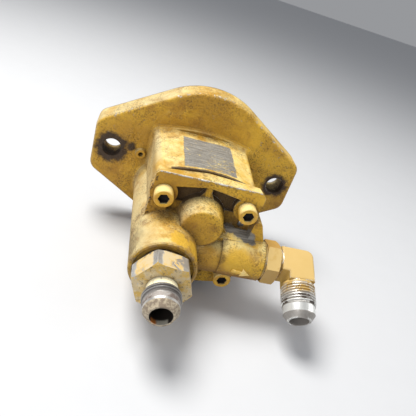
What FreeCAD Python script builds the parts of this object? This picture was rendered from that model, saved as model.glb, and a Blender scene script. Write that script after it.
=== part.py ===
import FreeCAD
import Part
import math
import os

os.makedirs("parts", exist_ok=True)
V = FreeCAD.Vector

# Engine-driven gear pump for fuel, on a two-bolt flange.
# Frame: the origin is the centre of the flange's mounting face, on the drive shaft's axis.
# +Y points into the engine, the ports face -Y, +Z is up and the two flange holes lie along X.
# All lengths are millimetres and all angles are degrees.

# Fits and clearances
journalClearance = 0.04
gearFaceClearance = 0.05
gearTipClearance = 0.06
seatClearance = 0.02
threadClearance = 0.05
screwHoleClearance = 0.35
lipClearance = 0.02
valveClearance = 0.05
dowelClearance = 0.02
endClearance = 0.3

# Mounting flange
boltHalfSpacing = 63.5
flangeHoleDia = 13.5
flangeThickness = 17.5
lobeRadius = 56.5
flankAngle = 31.9
earReach = 76.9
earCornerRadius = 9.0
flangeEdgeRound = 2.5
pilotDia = 76.2
pilotHeight = 9.0
pilotGrooveFromFace = 2.6
pilotChamfer = 1.2

# Pumping gears
gearTeeth = 9
gearModule = 3.175
pressureAngle = 25.0
addendumFactor = 0.95
dedendumFactor = 1.2
toothBacklash = 0.16
gearWidth = 19.0

# Housing: where cover and body part, and the outline there
partingDepth = 74.0
housingLeft = 33.4
housingLeftDraft = 3.2
housingRight = 31.6
housingRightDraft = 1.9
shoulderHeight = 22.8
crownHeight = 26.9
crownSide = -1.6
crownDraft = 0.5
drumWall = 8.5
drumDraft = 2.6
housingCornerRadius = 5.0
rootRadius = 3.6
namePadHalfWidth = 24.0
namePadHeight = 26.1
namePadFromCover = 5.0
namePadFromFlange = 1.6

# Cover plate
plateThickness = 8.3
plateLeft = 33.6
plateRight = 33.0
plateTop = 24.9
platePeak = 26.1
plateBackLeft = 22.7
plateBackRight = 24.0
plateCorner = 2.2
plateEndRound = 6.0
plateTrim = 0.2
plateRightTuck = 1.9
lintelRight = 35.6
lintelEndBevel = 3.0
lintelTaper = 0.5
lintelDrop = 9.0
recessFloor = 4.6
pocketFloor = 3.0
pocketBottom = 6.0
pocketInset = 1.5
recessLeft = 22.5
recessRight = 45.0
recessArch = 20.3
recessArchEnds = 16.6
recessShoulder = 4.0
recessBottom = 16.0
centreRibWidth = 4.4
centreRibFlare = 3.2
centreRibSetBack = 1.2

# Socket head screws that hold the cover
screwDia = 7.94
screwHeadDia = 11.9
screwHeadHeight = 7.94
screwSocketAcross = 6.35
screwSocketDepth = 4.2
screwReach = 20.0
screwBossRadius = 8.4
screwBossDraft = 1.2
screwCounterboreClearance = 1.1
screwCounterboreLength = 26.0
screwHalfSpan = 26.5
screwTopHeight = 11.0
screwLowRightDrop = 42.3
screwLowLeftSide = 27.6
screwLowLeftDrop = 49.0

# Dowels
dowelDia = 4.76
dowelIntoCover = 4.6
dowelIntoBody = 8.0
dowelSide = 27.6
dowelHeight = -2.0

# Shafts and bushings
shaftDia = 15.875
bushingWall = 1.59
bushingLength = 14.6
idlerPinDia = 12.7
idlerPinIntoBody = 22.0
idlerPinIntoCover = 5.0
domeRadiusFront = 12.8
domeRadiusBack = 16.0
domeReach = 21.2
domeDrop = 1.5
domeEdgeRound = 2.0
shaftEndDia = 14.0
shaftEndStart = 10.0
tangStart = 17.0
tangLength = 11.0
tangDia = 13.4
tangThickness = 7.9
shaftChamfer = 0.8
keyWidth = 3.18
keyLength = 15.0

# Shaft seals
sealBoreDia = 31.75
sealWidth = 7.0
sealGap = 3.2
oilSealFromFace = 4.2
sealCaseWall = 1.4
sealLipWidth = 1.2
ringGrooveDepth = 1.1
ringThickness = 1.3

# Seal between cover and body
coverSealMargin = 2.0
coverSealWidth = 2.6
coverSealDepth = 2.4

# Inlet side: the long boss on the left, with the straight fitting
inletSide = 18.6
inletDrop = 22.2
inletBossReach = 113.7
inletBossRadius = 21.6
inletBossDraft = 1.9
inletBossChamfer = 0.8
inletLip = 1.5
inletLipDepth = 1.1
inletPortDia = 27.0
inletPortDepth = 20.0
inletPassageDia = 16.0
inletHexAcross = 31.75
inletHexThickness = 12.7
inletHexTurn = 51.0
inletCollarDia = 30.4
inletCollarHeight = 3.0

# Outlet side: the slanted port boss on the right, with the elbow
portEnd = (46.2, -88.4, -20.2)
portRise = 2.4
portForward = 2.6
portBossRadius = 13.8
portBossLength = 29.0
portWaistRadius = 12.8
portWaistLength = 20.0
portWaistRise = -0.6
portThreadDia = 22.22
portThreadDepth = 17.0
portBoreDia = 12.3
portBoreDepth = 27.0
outletPocketSide = 15.0
outletPocketDrop = 20.0
outletPocketRadius = 8.5
outletLinkSide = 22.5
outletLinkDrop = 25.5
outletLinkRadius = 3.8
lugSide = 35.9
lugTop = 7.0
lugRadius = 2.9
lugFootRadius = 3.2
lugFootSink = 3.0
lugSpread = 6.0
lugReach = 87.5
webReach = 82.0
webRoofReach = 90.6
webRoofTop = -7.3
webRoofStep = 0.4
webInner = -3.0
webTop = -3.6
webFall = 6.0
webFoot = 2.0
finReach = 87.0
finInner = -3.0
finSide = 12.5
finTop = 0.2
finFootSide = 22.5
finFootHeight = -10.0

# Elbow and its lock nut
nutAcross = 25.4
nutLength = 9.2
nutTurn = -13.0
nutChamfer = 1.4
washerThickness = 0.8
washerDia = 25.0
faceGap = 0.1
elbowCentre = 25.6
elbowDrop = 21.9
elbowFront = 13.9
elbowBlockWidth = 17.2
elbowBlockDepth = 19.6
elbowCornerRound = 5.0
elbowEdgeRound = 1.8
elbowNeckDia = 19.2
elbowNeckLength = 2.0
elbowStudLength = 14.5

# Flared tube ends: the seat is the same on both fittings, the neck and thread differ
flareThreadDia = 22.22
flareThreadBevel = 0.9
flareRingDia = 20.2
flareRingLength = 4.8
flareConeAngle = 37.0
flareTipDia = 14.6
flareBoreDia = 12.3
inletNeckDia = 18.0
inletNeckLength = 5.4
inletThreadLength = 6.6
elbowUndercutDia = 20.6
elbowUndercutLength = 0.6
elbowThreadLength = 15.2

# Relief valve in the body, behind the inlet
valveBoreDia = 14.0
valveSeatDepth = 31.0
valveSeatDia = 8.0
poppetLength = 13.0
poppetWall = 1.9
poppetBottom = 3.5
valvePlugDia = 16.0
valvePlugLength = 4.6
valvePlugFromChamber = 0.4
valvePlugSocket = 6.0
valveSpringTurns = 6
valveSpringWire = 1.2
crossPassageDia = 6.0
crossPassageDepth = 27.6
drillRunout = 0.6
outletFeedDia = 7.0

# Weep hole
weepSide = 42.5
weepHeight = 0.8
weepBossRadius = 4.4
weepBossHeight = 2.5
weepDia = 3.4

# O-rings
pilotRingSection = 3.0
pilotRingProud = 0.15
pilotGrooveWidth = 3.75
fittingRingSection = 1.8
ringBevelDepth = 3.5
portBevel = 2.0

# Worked out from the sizes above
pitchRadius = gearModule * gearTeeth / 2
gearOuterRadius = pitchRadius + addendumFactor * gearModule
gearRootRadius = pitchRadius - dedendumFactor * gearModule
centreDistance = 2 * pitchRadius
chamberRadius = gearOuterRadius + gearTipClearance
chamberDepth = gearWidth + 2 * gearFaceClearance
chamberBack = -partingDepth + chamberDepth
shaftRadius = shaftDia / 2
bushingBore = shaftRadius + journalClearance
bushingRadius = bushingBore + bushingWall
bushingSeat = bushingRadius + seatClearance
idlerPinRadius = idlerPinDia / 2
idlerBushingBore = idlerPinRadius + journalClearance
idlerBushingRadius = idlerBushingBore + bushingWall
plateFront = -partingDepth - plateThickness
recessPlane = -partingDepth - recessFloor
gearFront = -partingDepth + gearFaceClearance
gearBack = gearFront + gearWidth
idlerHeight = -centreDistance
sealBoreRadius = sealBoreDia / 2
fuelSealBack = -oilSealFromFace - sealWidth - sealGap
ringFront = -oilSealFromFace + seatClearance
drumRadius = chamberRadius + drumWall
nutEnd = washerThickness + nutLength + 2 * faceGap
flareConeLength = (flareRingDia - flareTipDia) / 2 / math.tan(math.radians(flareConeAngle))
inletMouthRadius = (inletBossRadius - inletBossChamfer
                    - (inletBossReach - partingDepth) * math.tan(math.radians(inletBossDraft)))
screwPlaces = [
    (-screwHalfSpan, screwTopHeight),
    (screwHalfSpan, screwTopHeight),
    (screwHalfSpan, -screwLowRightDrop),
    (-screwLowLeftSide, -screwLowLeftDrop),
]
dowelPlaces = [(-dowelSide, dowelHeight), (dowelSide, dowelHeight)]


def yCylinder(x, z, yFrom, yTo, radius):
    return Part.makeCylinder(radius, yTo - yFrom, V(x, yFrom, z), V(0, 1, 0))


def yCone(x, z, yFrom, yTo, radiusFrom, radiusTo):
    return Part.makeCone(radiusFrom, radiusTo, yTo - yFrom, V(x, yFrom, z), V(0, 1, 0))


def box(x0, x1, y0, y1, z0, z1):
    return Part.makeBox(x1 - x0, y1 - y0, z1 - z0, V(x0, y0, z0))


def faceAt(y, points):
    ring = [V(x, y, z) for x, z in points]
    return Part.Face(Part.makePolygon(ring + ring[:1]))


def prism(points, yFrom, yTo):
    return faceAt(yFrom, points).extrude(V(0, yTo - yFrom, 0))


def hexPoints(x, z, across, turn):
    corner = across / 2 / math.cos(math.radians(30))
    angles = [math.radians(turn + 60 * k) for k in range(6)]
    return [(x + corner * math.cos(a), z + corner * math.sin(a)) for a in angles]


def hullFace(y, circles):
    """Face bounded by the tight belt round circles (x, z, radius) listed anticlockwise."""
    normals = []
    for k, (x, z, r) in enumerate(circles):
        x2, z2, r2 = circles[(k + 1) % len(circles)]
        length = math.hypot(x2 - x, z2 - z)
        along = V((x2 - x) / length, 0, (z2 - z) / length)
        outward = V(along.z, 0, -along.x)
        lean = (r - r2) / length
        normals.append(along * lean + outward * math.sqrt(1 - lean * lean))
    edges = []
    for k, (x, z, r) in enumerate(circles):
        centre = V(x, y, z)
        before = normals[k - 1]
        after = normals[k]
        turn = math.atan2(before.z, before.x)
        sweep = (math.atan2(after.z, after.x) - turn) % (2 * math.pi)
        middle = V(math.cos(turn + sweep / 2), 0, math.sin(turn + sweep / 2))
        start = centre + before * r
        end = centre + after * r
        x2, z2, r2 = circles[(k + 1) % len(circles)]
        edges.append(Part.Arc(start, centre + middle * r, end).toShape())
        edges.append(Part.LineSegment(end, V(x2, y, z2) + after * r2).toShape())
    return Part.Face(Part.Wire(edges))


def spin(profile, x=0.0, z=0.0):
    """Solid of revolution about the line through (x, z) along Y, from (radius, y) points."""
    ring = [V(x + r, y, z) for r, y in profile]
    face = Part.Face(Part.makePolygon(ring + ring[:1]))
    return face.revolve(V(x, 0, z), V(0, 1, 0), 360)


def joined(shapes):
    return shapes[0].multiFuse(shapes[1:]).removeSplitter()


def edgesWhere(shape, test):
    return [edge for edge in shape.Edges if test(edge)]


def flangePlate():
    lean = math.radians(flankAngle)
    tipHeight = (lobeRadius - earReach * math.sin(lean)) / math.cos(lean)
    start = V(lobeRadius * math.sin(lean), 0, lobeRadius * math.cos(lean))
    mirrored = V(-start.x, 0, start.z)
    corners = [V(earReach, 0, tipHeight), V(-earReach, 0, tipHeight)]
    corners += [V(-earReach, 0, -tipHeight), V(earReach, 0, -tipHeight)]
    lowRight = V(start.x, 0, -start.z)
    lowLeft = V(-start.x, 0, -start.z)
    edges = [
        Part.LineSegment(corners[0], start),
        Part.Arc(start, V(0, 0, lobeRadius), mirrored),
        Part.LineSegment(mirrored, corners[1]),
        Part.LineSegment(corners[1], corners[2]),
        Part.LineSegment(corners[2], lowLeft),
        Part.Arc(lowLeft, V(0, 0, -lobeRadius), lowRight),
        Part.LineSegment(lowRight, corners[3]),
        Part.LineSegment(corners[3], corners[0]),
    ]
    face = Part.Face(Part.Wire([edge.toShape() for edge in edges]))
    plate = face.extrude(V(0, -flangeThickness, 0))
    upright = edgesWhere(plate, lambda e: abs(e.BoundBox.YLength - flangeThickness) < 0.01
                         and abs(abs(e.BoundBox.Center.x) - earReach) < 0.01)
    plate = plate.makeFillet(earCornerRadius, upright)
    front = edgesWhere(plate, lambda e: e.BoundBox.YMax < 0.01 - flangeThickness)
    return plate.makeFillet(flangeEdgeRound, front)


def rootSteps():
    """Distance from the flange and growth of each step of the round at a casting's root."""
    angles = [math.radians(a) for a in (0, 30, 55, 75)]
    steps = [(rootRadius * (1 - math.sin(a)), rootRadius * (1 - math.cos(a))) for a in angles]
    return steps + [(-1.0, steps[-1][1])]


def housingSection(y, extra):
    """Outline of the body at depth y: upright sides under a crowned top, extra larger all round."""
    depth = y + partingDepth
    left = -housingLeft - depth * math.tan(math.radians(housingLeftDraft)) - extra
    right = housingRight + depth * math.tan(math.radians(housingRightDraft)) + extra
    lift = depth * math.tan(math.radians(crownDraft)) + extra
    corner = housingCornerRadius
    shoulder = shoulderHeight + lift
    diagonal = corner * math.sqrt(0.5)
    sideTop = shoulder - corner
    edges = [
        Part.Arc(V(left + corner, y, shoulder), V(crownSide, y, crownHeight + lift),
                 V(right - corner, y, shoulder)),
        Part.Arc(V(right - corner, y, shoulder),
                 V(right - corner + diagonal, y, sideTop + diagonal), V(right, y, sideTop)),
        Part.LineSegment(V(right, y, sideTop), V(right, y, idlerHeight)),
        Part.LineSegment(V(right, y, idlerHeight), V(left, y, idlerHeight)),
        Part.LineSegment(V(left, y, idlerHeight), V(left, y, sideTop)),
        Part.Arc(V(left, y, sideTop), V(left + corner - diagonal, y, sideTop + diagonal),
                 V(left + corner, y, shoulder)),
    ]
    return Part.Wire([edge.toShape() for edge in edges])


def rootedCone(x, z, radius, draft):
    """Drafted round boss from the parting plane back to the flange, with a round at its root."""
    slope = math.tan(math.radians(draft))
    profile = [(0, -partingDepth), (radius, -partingDepth)]
    for distance, growth in rootSteps():
        y = -flangeThickness - distance
        profile.append((radius + (y + partingDepth) * slope + growth, y))
    profile.append((0, profile[-1][1]))
    return spin(profile, x, z)


def inletBoss(yFrom, yTo):
    slope = math.tan(math.radians(inletBossDraft))
    start = inletBossRadius + (yFrom + partingDepth) * slope
    end = inletBossRadius + (yTo + partingDepth) * slope
    return yCone(-inletSide, -inletDrop, yFrom, yTo, start, end)


def namePad():
    """Milled flat on the crowned top."""
    back = -flangeThickness - namePadFromFlange
    front = -partingDepth + namePadFromCover
    return box(-namePadHalfWidth, namePadHalfWidth, front, back, namePadHeight, namePadHeight + 20)


def weepBoss():
    base = -flangeThickness + 1
    top = -flangeThickness - weepBossHeight
    return yCone(-weepSide, weepHeight, top, base, weepBossRadius * 0.78, weepBossRadius)


def weepDrilling():
    """Hole in from the weep boss, and the cross hole to the gap between the two shaft seals."""
    middle = -oilSealFromFace - sealWidth - sealGap / 2
    start = -flangeThickness - weepBossHeight - 1
    entry = yCylinder(-weepSide, weepHeight, start, middle, weepDia / 2)
    across = Part.makeCylinder(weepDia / 2, weepSide - sealBoreRadius + 1,
                               V(-weepSide, middle, weepHeight), V(1, 0, 0))
    return entry.fuse(across)


def reliefBores():
    """Valve bore behind the inlet, its seat, and the cored passages that feed it."""
    x = -inletSide
    z = -inletDrop
    plugBack = chamberBack + valvePlugFromChamber + valvePlugLength
    passageBack = -crossPassageDepth + crossPassageDia / 2 + drillRunout
    cuts = [
        yCylinder(x, z, chamberBack - 0.1, plugBack, valvePlugDia / 2 + threadClearance),
        yCylinder(x, z, plugBack - 0.1, -valveSeatDepth, valveBoreDia / 2),
        yCylinder(x, z, -valveSeatDepth - 0.1, passageBack, valveSeatDia / 2),
        yCylinder(outletPocketSide, z, chamberBack - 0.1, passageBack, outletFeedDia / 2),
    ]
    across = outletPocketSide + inletSide
    start = V(x, -crossPassageDepth, z)
    cuts.append(Part.makeCylinder(crossPassageDia / 2, across, start, V(1, 0, 0)))
    return cuts


def sealLand(margin):
    """Outline that runs round the gear chamber and both pockets, margin outside them."""
    y = -partingDepth
    reach = chamberRadius + coverSealMargin + margin
    inlet = inletPassageDia / 2 + coverSealMargin + margin
    outlet = outletPocketRadius + coverSealMargin + margin
    chamber = hullFace(y, [(0, 0, reach), (0, idlerHeight, reach)])
    pockets = [
        hullFace(y, [(-inletSide, -inletDrop, inlet), (0, -inletDrop, inlet)]),
        hullFace(y, [(outletPocketSide, -outletPocketDrop, outlet), (0, -outletPocketDrop, outlet)]),
        hullFace(y, [(outletLinkSide, -outletLinkDrop, outletLinkRadius + coverSealMargin + margin),
                     (0, -outletLinkDrop, outletLinkRadius + coverSealMargin + margin)]),
    ]
    return chamber.multiFuse(pockets).removeSplitter()


def coverSeal(extra):
    """Moulded seal, or its groove when extra is the groove's clearance."""
    outer = sealLand(coverSealWidth + extra).extrude(V(0, coverSealDepth, 0))
    inner = sealLand(-extra).extrude(V(0, coverSealDepth, 0))
    return outer.cut(inner)


def pumpBody():
    """Flange, drafted housing with its screw bosses and the long inlet boss in one casting."""
    steps = [(-flangeThickness - distance, growth) for distance, growth in rootSteps()]
    sections = [housingSection(-partingDepth, 0)]
    sections += [housingSection(y, growth) for y, growth in steps]
    block = Part.makeLoft(sections, True, True)
    bossLength = partingDepth - flangeThickness + 1
    bossGrowth = bossLength * math.tan(math.radians(screwBossDraft))
    bosses = [yCone(x, z, -partingDepth, -partingDepth + bossLength, screwBossRadius,
                    screwBossRadius + bossGrowth) for x, z in screwPlaces[2:]]
    drum = rootedCone(0, idlerHeight, drumRadius, drumDraft)
    inlet = rootedCone(-inletSide, -inletDrop, inletBossRadius, inletBossDraft)
    webs = []
    for x, z in screwPlaces[2:]:
        belt = [(x, z, screwBossRadius), (0, idlerHeight, screwBossRadius)]
        webs.append(hullFace(-partingDepth, belt).extrude(V(0, bossLength, 0)))
    casting = joined([block, drum, inlet] + bosses + webs)
    casting = casting.cut(namePad())
    pilot = yCylinder(0, 0, -1, pilotHeight, pilotDia / 2)
    casting = joined([flangePlate(), casting, weepBoss(), pilot])
    cuts = [yCylinder(side * boltHalfSpacing, 0, -flangeThickness - 1, 1, flangeHoleDia / 2)
            for side in (-1, 1)]
    cuts.append(yCylinder(0, 0, -partingDepth - 1, chamberBack, chamberRadius))
    cuts.append(yCylinder(0, idlerHeight, -partingDepth - 1, chamberBack, chamberRadius))
    cuts.append(yCylinder(-inletSide, -inletDrop, -partingDepth - 1, chamberBack, inletPassageDia / 2))
    cuts.append(yCylinder(outletPocketSide, -outletPocketDrop, -partingDepth - 1, chamberBack,
                          outletPocketRadius))
    cuts.append(yCylinder(outletLinkSide, -outletLinkDrop, -partingDepth - 1, -partingDepth + 6,
                          outletLinkRadius))
    bushingBack = chamberBack + bushingLength + 0.2
    cuts.append(yCylinder(0, 0, chamberBack - 1, bushingBack, bushingSeat))
    cuts.append(yCylinder(0, idlerHeight, chamberBack - 1, chamberBack + idlerPinIntoBody + endClearance,
                          idlerPinRadius + seatClearance))
    cuts.append(yCylinder(0, 0, bushingBack - 1, fuelSealBack, shaftRadius + 0.6))
    cuts.append(yCylinder(0, 0, fuelSealBack - sealWidth, pilotHeight + 1, sealBoreRadius))
    cuts.append(yCylinder(0, 0, ringFront - 0.01, ringFront + ringThickness + 0.1,
                          sealBoreRadius + ringGrooveDepth + 0.1))
    cuts.append(coverSeal(0.1))
    cuts.append(weepDrilling())
    cuts += reliefBores()
    for x, z in screwPlaces:
        cuts.append(yCylinder(x, z, -partingDepth - 1, -partingDepth + screwReach + 2,
                              screwDia / 2 + threadClearance))
    for x, z in dowelPlaces:
        cuts.append(yCylinder(x, z, -partingDepth - 1, -partingDepth + dowelIntoBody + endClearance,
                              dowelDia / 2 + dowelClearance))
    grooveInner = pilotDia / 2 + pilotRingProud - pilotRingSection - seatClearance
    groove = spin([
        (grooveInner, pilotGrooveFromFace),
        (pilotDia / 2 + 1, pilotGrooveFromFace),
        (pilotDia / 2 + 1, pilotGrooveFromFace + pilotGrooveWidth),
        (grooveInner, pilotGrooveFromFace + pilotGrooveWidth),
    ])
    cuts.append(groove)
    cuts.append(spin([
        (pilotDia / 2 - pilotChamfer, pilotHeight),
        (pilotDia / 2 + 1, pilotHeight - pilotChamfer - 1),
        (pilotDia / 2 + 1, pilotHeight + 1),
        (pilotDia / 2 - pilotChamfer, pilotHeight + 1),
    ]))
    return casting.cut(cuts)


def gearFace(x, z, turn, y):
    """Involute spur gear outline; turn is the direction of one tooth's centre line."""
    base = pitchRadius * math.cos(math.radians(pressureAngle))
    involuteAtPitch = math.tan(math.radians(pressureAngle)) - math.radians(pressureAngle)
    halfAtPitch = math.pi / (2 * gearTeeth) - toothBacklash / 2 / pitchRadius

    def halfAngle(radius):
        swing = math.acos(min(1.0, base / radius))
        return halfAtPitch + involuteAtPitch - (math.tan(swing) - swing)

    def point(radius, angle):
        return V(x + radius * math.cos(angle), y, z + radius * math.sin(angle))

    flankRadii = [base, (base + gearOuterRadius) / 2, gearOuterRadius]
    edges = []
    pitchStep = 2 * math.pi / gearTeeth
    for tooth in range(gearTeeth):
        middle = math.radians(turn) + tooth * pitchStep
        rising = [point(r, middle - halfAngle(r)) for r in flankRadii]
        falling = [point(r, middle + halfAngle(r)) for r in reversed(flankRadii)]
        footAngle = halfAngle(base)
        footIn = point(gearRootRadius, middle - footAngle)
        footOut = point(gearRootRadius, middle + footAngle)
        nextFoot = point(gearRootRadius, middle + pitchStep - footAngle)
        edges.append(Part.LineSegment(footIn, rising[0]).toShape())
        edges.append(Part.Arc(*rising).toShape())
        edges.append(Part.Arc(rising[-1], point(gearOuterRadius, middle), falling[0]).toShape())
        edges.append(Part.Arc(*falling).toShape())
        edges.append(Part.LineSegment(falling[-1], footOut).toShape())
        valley = point(gearRootRadius, middle + pitchStep / 2)
        edges.append(Part.Arc(footOut, valley, nextFoot).toShape())
    return Part.Face(Part.Wire(edges))


def driveGear():
    gear = gearFace(0, 0, -90, gearFront).extrude(V(0, gearWidth, 0))
    gear = gear.cut(yCylinder(0, 0, gearFront - 1, gearBack + 1, shaftRadius + seatClearance))
    slot = box(-keyWidth / 2 - seatClearance, keyWidth / 2 + seatClearance,
               gearFront - 1, gearBack + 1, 0, shaftRadius + keyWidth / 2 + seatClearance)
    return gear.cut(slot)


def idlerGear():
    turn = 90 + 180 / gearTeeth
    gear = gearFace(0, idlerHeight, turn, gearFront).extrude(V(0, gearWidth, 0))
    return gear.cut(yCylinder(0, idlerHeight, gearFront - 1, gearBack + 1,
                              idlerBushingRadius + seatClearance))


def keyBlock(extra):
    middle = (gearFront + gearBack) / 2
    return box(-keyWidth / 2 - extra, keyWidth / 2 + extra, middle - keyLength / 2 - extra,
               middle + keyLength / 2 + extra, shaftRadius - keyWidth / 2 - extra,
               shaftRadius + keyWidth / 2)


def driveShaft():
    """Stepped shaft with a flat drive tang at the engine end."""
    front = -partingDepth - bushingLength
    back = tangStart + tangLength
    profile = [
        (0, front), (shaftRadius - shaftChamfer, front), (shaftRadius, front + shaftChamfer),
        (shaftRadius, shaftEndStart), (shaftEndDia / 2, shaftEndStart),
        (shaftEndDia / 2, tangStart), (tangDia / 2, tangStart),
        (tangDia / 2, back - shaftChamfer), (tangDia / 2 - shaftChamfer, back), (0, back),
    ]
    shaft = spin(profile)
    for side in (-1, 1):
        flat = box(-shaftDia, shaftDia, tangStart, back + 1, 0, shaftDia)
        flat.translate(V(0, 0, tangThickness / 2 if side > 0 else -tangThickness / 2 - shaftDia))
        shaft = shaft.cut(flat)
    return shaft.cut(keyBlock(seatClearance))


def idlerPin():
    """Fixed pin, pressed into the body, that the idler gear turns on."""
    front = -partingDepth - idlerPinIntoCover
    back = chamberBack + idlerPinIntoBody
    return spin([
        (0, front), (idlerPinRadius - shaftChamfer, front), (idlerPinRadius, front + shaftChamfer),
        (idlerPinRadius, back - shaftChamfer), (idlerPinRadius - shaftChamfer, back), (0, back),
    ], 0, idlerHeight)


def bushing(z, yFrom, length, bore):
    edge = 0.4
    outer = bore + bushingWall
    yTo = yFrom + length
    return spin([
        (bore, yFrom), (outer - edge, yFrom), (outer, yFrom + edge),
        (outer, yTo - edge), (outer - edge, yTo), (bore, yTo),
    ], 0, z)


def lipSeal(yBack, lipSide):
    """Pressed case with a rubber lip on the shaft; lipSide is -1 or 1, the way the lip faces."""
    outer = sealBoreRadius - seatClearance
    lip = shaftRadius + lipClearance
    yFront = yBack - sealWidth
    near = yFront if lipSide < 0 else yBack
    far = yBack if lipSide < 0 else yFront
    step = (far - near) / sealWidth
    return spin([
        (outer, near), (outer, far), (lip + 2.2, far), (lip + 1.0, far - step * 1.6),
        (lip + 0.9, near + step * 2.6), (lip, near + step * 1.9), (lip, near + step * 1.0),
        (lip + 2.4, near + step * 0.6), (lip + 2.6, far - step * 2.4),
        (outer - sealCaseWall, far - step * 2.4), (outer - sealCaseWall, near),
    ])


def retainingRing():
    """Internal snap ring with its gap and two plier ears."""
    outer = sealBoreRadius + ringGrooveDepth
    inner = sealBoreRadius - 1.9
    y0 = ringFront
    y1 = y0 + ringThickness
    ring = yCylinder(0, 0, y0, y1, outer).cut(yCylinder(0, 0, y0 - 1, y1 + 1, inner))
    ears = []
    for side in (-1, 1):
        angle = math.radians(90 + side * 13)
        reach = inner - 0.4
        ear = yCylinder(reach * math.cos(angle), reach * math.sin(angle), y0, y1, 2.3)
        eye = yCylinder(reach * math.cos(angle), reach * math.sin(angle), y0 - 1, y1 + 1, 0.9)
        ears.append(ear.cut(eye))
    gap = box(-2.2, 2.2, y0 - 1, y1 + 1, inner - 3.5, outer + 1)
    holes = []
    for side in (-1, 1):
        angle = math.radians(90 + side * 13)
        reach = inner - 0.4
        holes.append(yCylinder(reach * math.cos(angle), reach * math.sin(angle), y0 - 1, y1 + 1, 0.9))
    return joined([ring] + ears).cut([gap] + holes)


def portAxes():
    rise = math.radians(portRise)
    swing = math.radians(-portForward)
    axis = V(math.cos(rise) * math.cos(swing), math.cos(rise) * math.sin(swing), math.sin(rise))
    front = axis.cross(V(0, 0, 1)).normalize()
    up = front.cross(axis).normalize()
    return up, front, axis


def portMatrix():
    up, front, axis = portAxes()
    end = V(*portEnd)
    return FreeCAD.Matrix(
        up.x, front.x, axis.x, end.x,
        up.y, front.y, axis.y, end.y,
        up.z, front.z, axis.z, end.z,
        0, 0, 0, 1)


def placed(shape, matrix):
    moved = shape.copy()
    moved.Placement = FreeCAD.Placement(matrix).multiply(moved.Placement)
    return moved


def lintelOutline(y, left, top, crown, right, rightTop):
    """Outline of the lintel at depth y, with its lower edge inside the plate."""
    bottom = plateTop - lintelDrop
    points = [
        (-left, bottom), (-left, top - plateCorner), (-left + plateCorner, top), (crownSide, crown),
        (right - lintelEndBevel, rightTop), (right, rightTop - lintelEndBevel), (right, bottom),
    ]
    ring = [V(x, y, z) for x, z in points]
    return Part.makePolygon(ring + ring[:1])


def coverPlate():
    """Flange of the cover: a belt round the screws, with a heavy lintel along the top."""
    circles = [
        (-plateLeft + plateEndRound, plateBackLeft - plateEndRound, plateEndRound),
        (-screwLowLeftSide, -screwLowLeftDrop, screwBossRadius - plateTrim),
        (0, idlerHeight, drumRadius),
        (screwHalfSpan - plateRightTuck, -screwLowRightDrop, screwBossRadius),
        (plateRight - plateEndRound, plateBackRight - plateEndRound, plateEndRound),
    ]
    plate = hullFace(-partingDepth, circles).extrude(V(0, -plateThickness, 0))
    front = lintelOutline(plateFront, plateLeft, plateTop, plateTop, lintelRight, plateTop)
    back = lintelOutline(-partingDepth, plateLeft - lintelTaper, plateBackLeft, platePeak,
                         lintelRight - lintelTaper, plateBackRight)
    lintel = Part.makeLoft([front, back], True, True)
    pocketLeft = -recessLeft + pocketInset
    pocketRight = recessLeft - pocketInset
    ribSide = centreRibWidth / 2 + plateTrim
    recess = prism([
        (-recessLeft, -recessBottom), (recessRight, -recessBottom), (recessRight, pocketBottom - 2),
        (screwHalfSpan, screwTopHeight + recessShoulder), (pocketRight - 2, recessArchEnds + 1),
        (ribSide, recessArch), (-ribSide, recessArch), (pocketLeft, recessArchEnds),
        (-recessLeft, pocketBottom + 2),
    ], plateFront - 1, recessPlane)
    leftPocket = prism([
        (pocketLeft, pocketBottom), (-ribSide, pocketBottom),
        (-ribSide, recessArch - plateTrim), (pocketLeft, recessArchEnds - plateTrim),
    ], plateFront - 1, -partingDepth - pocketFloor)
    rightPocket = prism([
        (ribSide, pocketBottom), (pocketRight, pocketBottom),
        (pocketRight, recessArchEnds - plateTrim), (ribSide, recessArch - plateTrim),
    ], plateFront - 1, -partingDepth - pocketFloor)
    return joined([plate, lintel]).cut([recess, leftPocket, rightPocket])


def centreRib():
    """Rib from the lintel down to the dome, where it flares out."""
    half = centreRibWidth / 2
    low = domeRadiusFront - domeDrop
    return prism([
        (-half - centreRibFlare, low), (half + centreRibFlare, low), (half, recessArchEnds),
        (half, plateTop - lintelEndBevel), (-half, plateTop - lintelEndBevel), (-half, recessArchEnds),
    ], plateFront + centreRibSetBack, -partingDepth)


def dome():
    front = -partingDepth - domeReach
    body = yCone(0, -domeDrop, front, -partingDepth - 0.5, domeRadiusFront, domeRadiusBack)
    rim = edgesWhere(body, lambda e: e.BoundBox.YMax < front + 0.01 and e.BoundBox.XLength > 5)
    return body.makeFillet(domeEdgeRound, rim)


def portBoss():
    """Slanted boss of the outlet port, waisted where it runs in under the dome."""
    full = Part.makeCylinder(portBossRadius, portBossLength, V(0, 0, -portBossLength))
    rim = edgesWhere(full, lambda e: e.BoundBox.ZMin > -0.01)
    full = full.makeChamfer(1.0, rim)
    waistBack = -portBossLength - portWaistLength
    waist = Part.makeCylinder(portWaistRadius, portWaistLength + 1, V(portWaistRise, 0, waistBack))
    end = Part.makeSphere(portWaistRadius, V(portWaistRise, 0, waistBack))
    return placed(joined([full, waist, end]), portMatrix())


def lug():
    """Small upright ear on the web beside the port boss."""
    foot = portEnd[2] + portBossRadius
    belt = [
        (lugSide, foot - lugFootSink, lugFootRadius),
        (lugSide + lugSpread, foot - lugFootSink + 1, lugFootRadius - 1),
        (lugSide, lugTop - lugRadius, lugRadius),
    ]
    return hullFace(-lugReach, belt).extrude(V(0, lugReach - partingDepth, 0))


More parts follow.
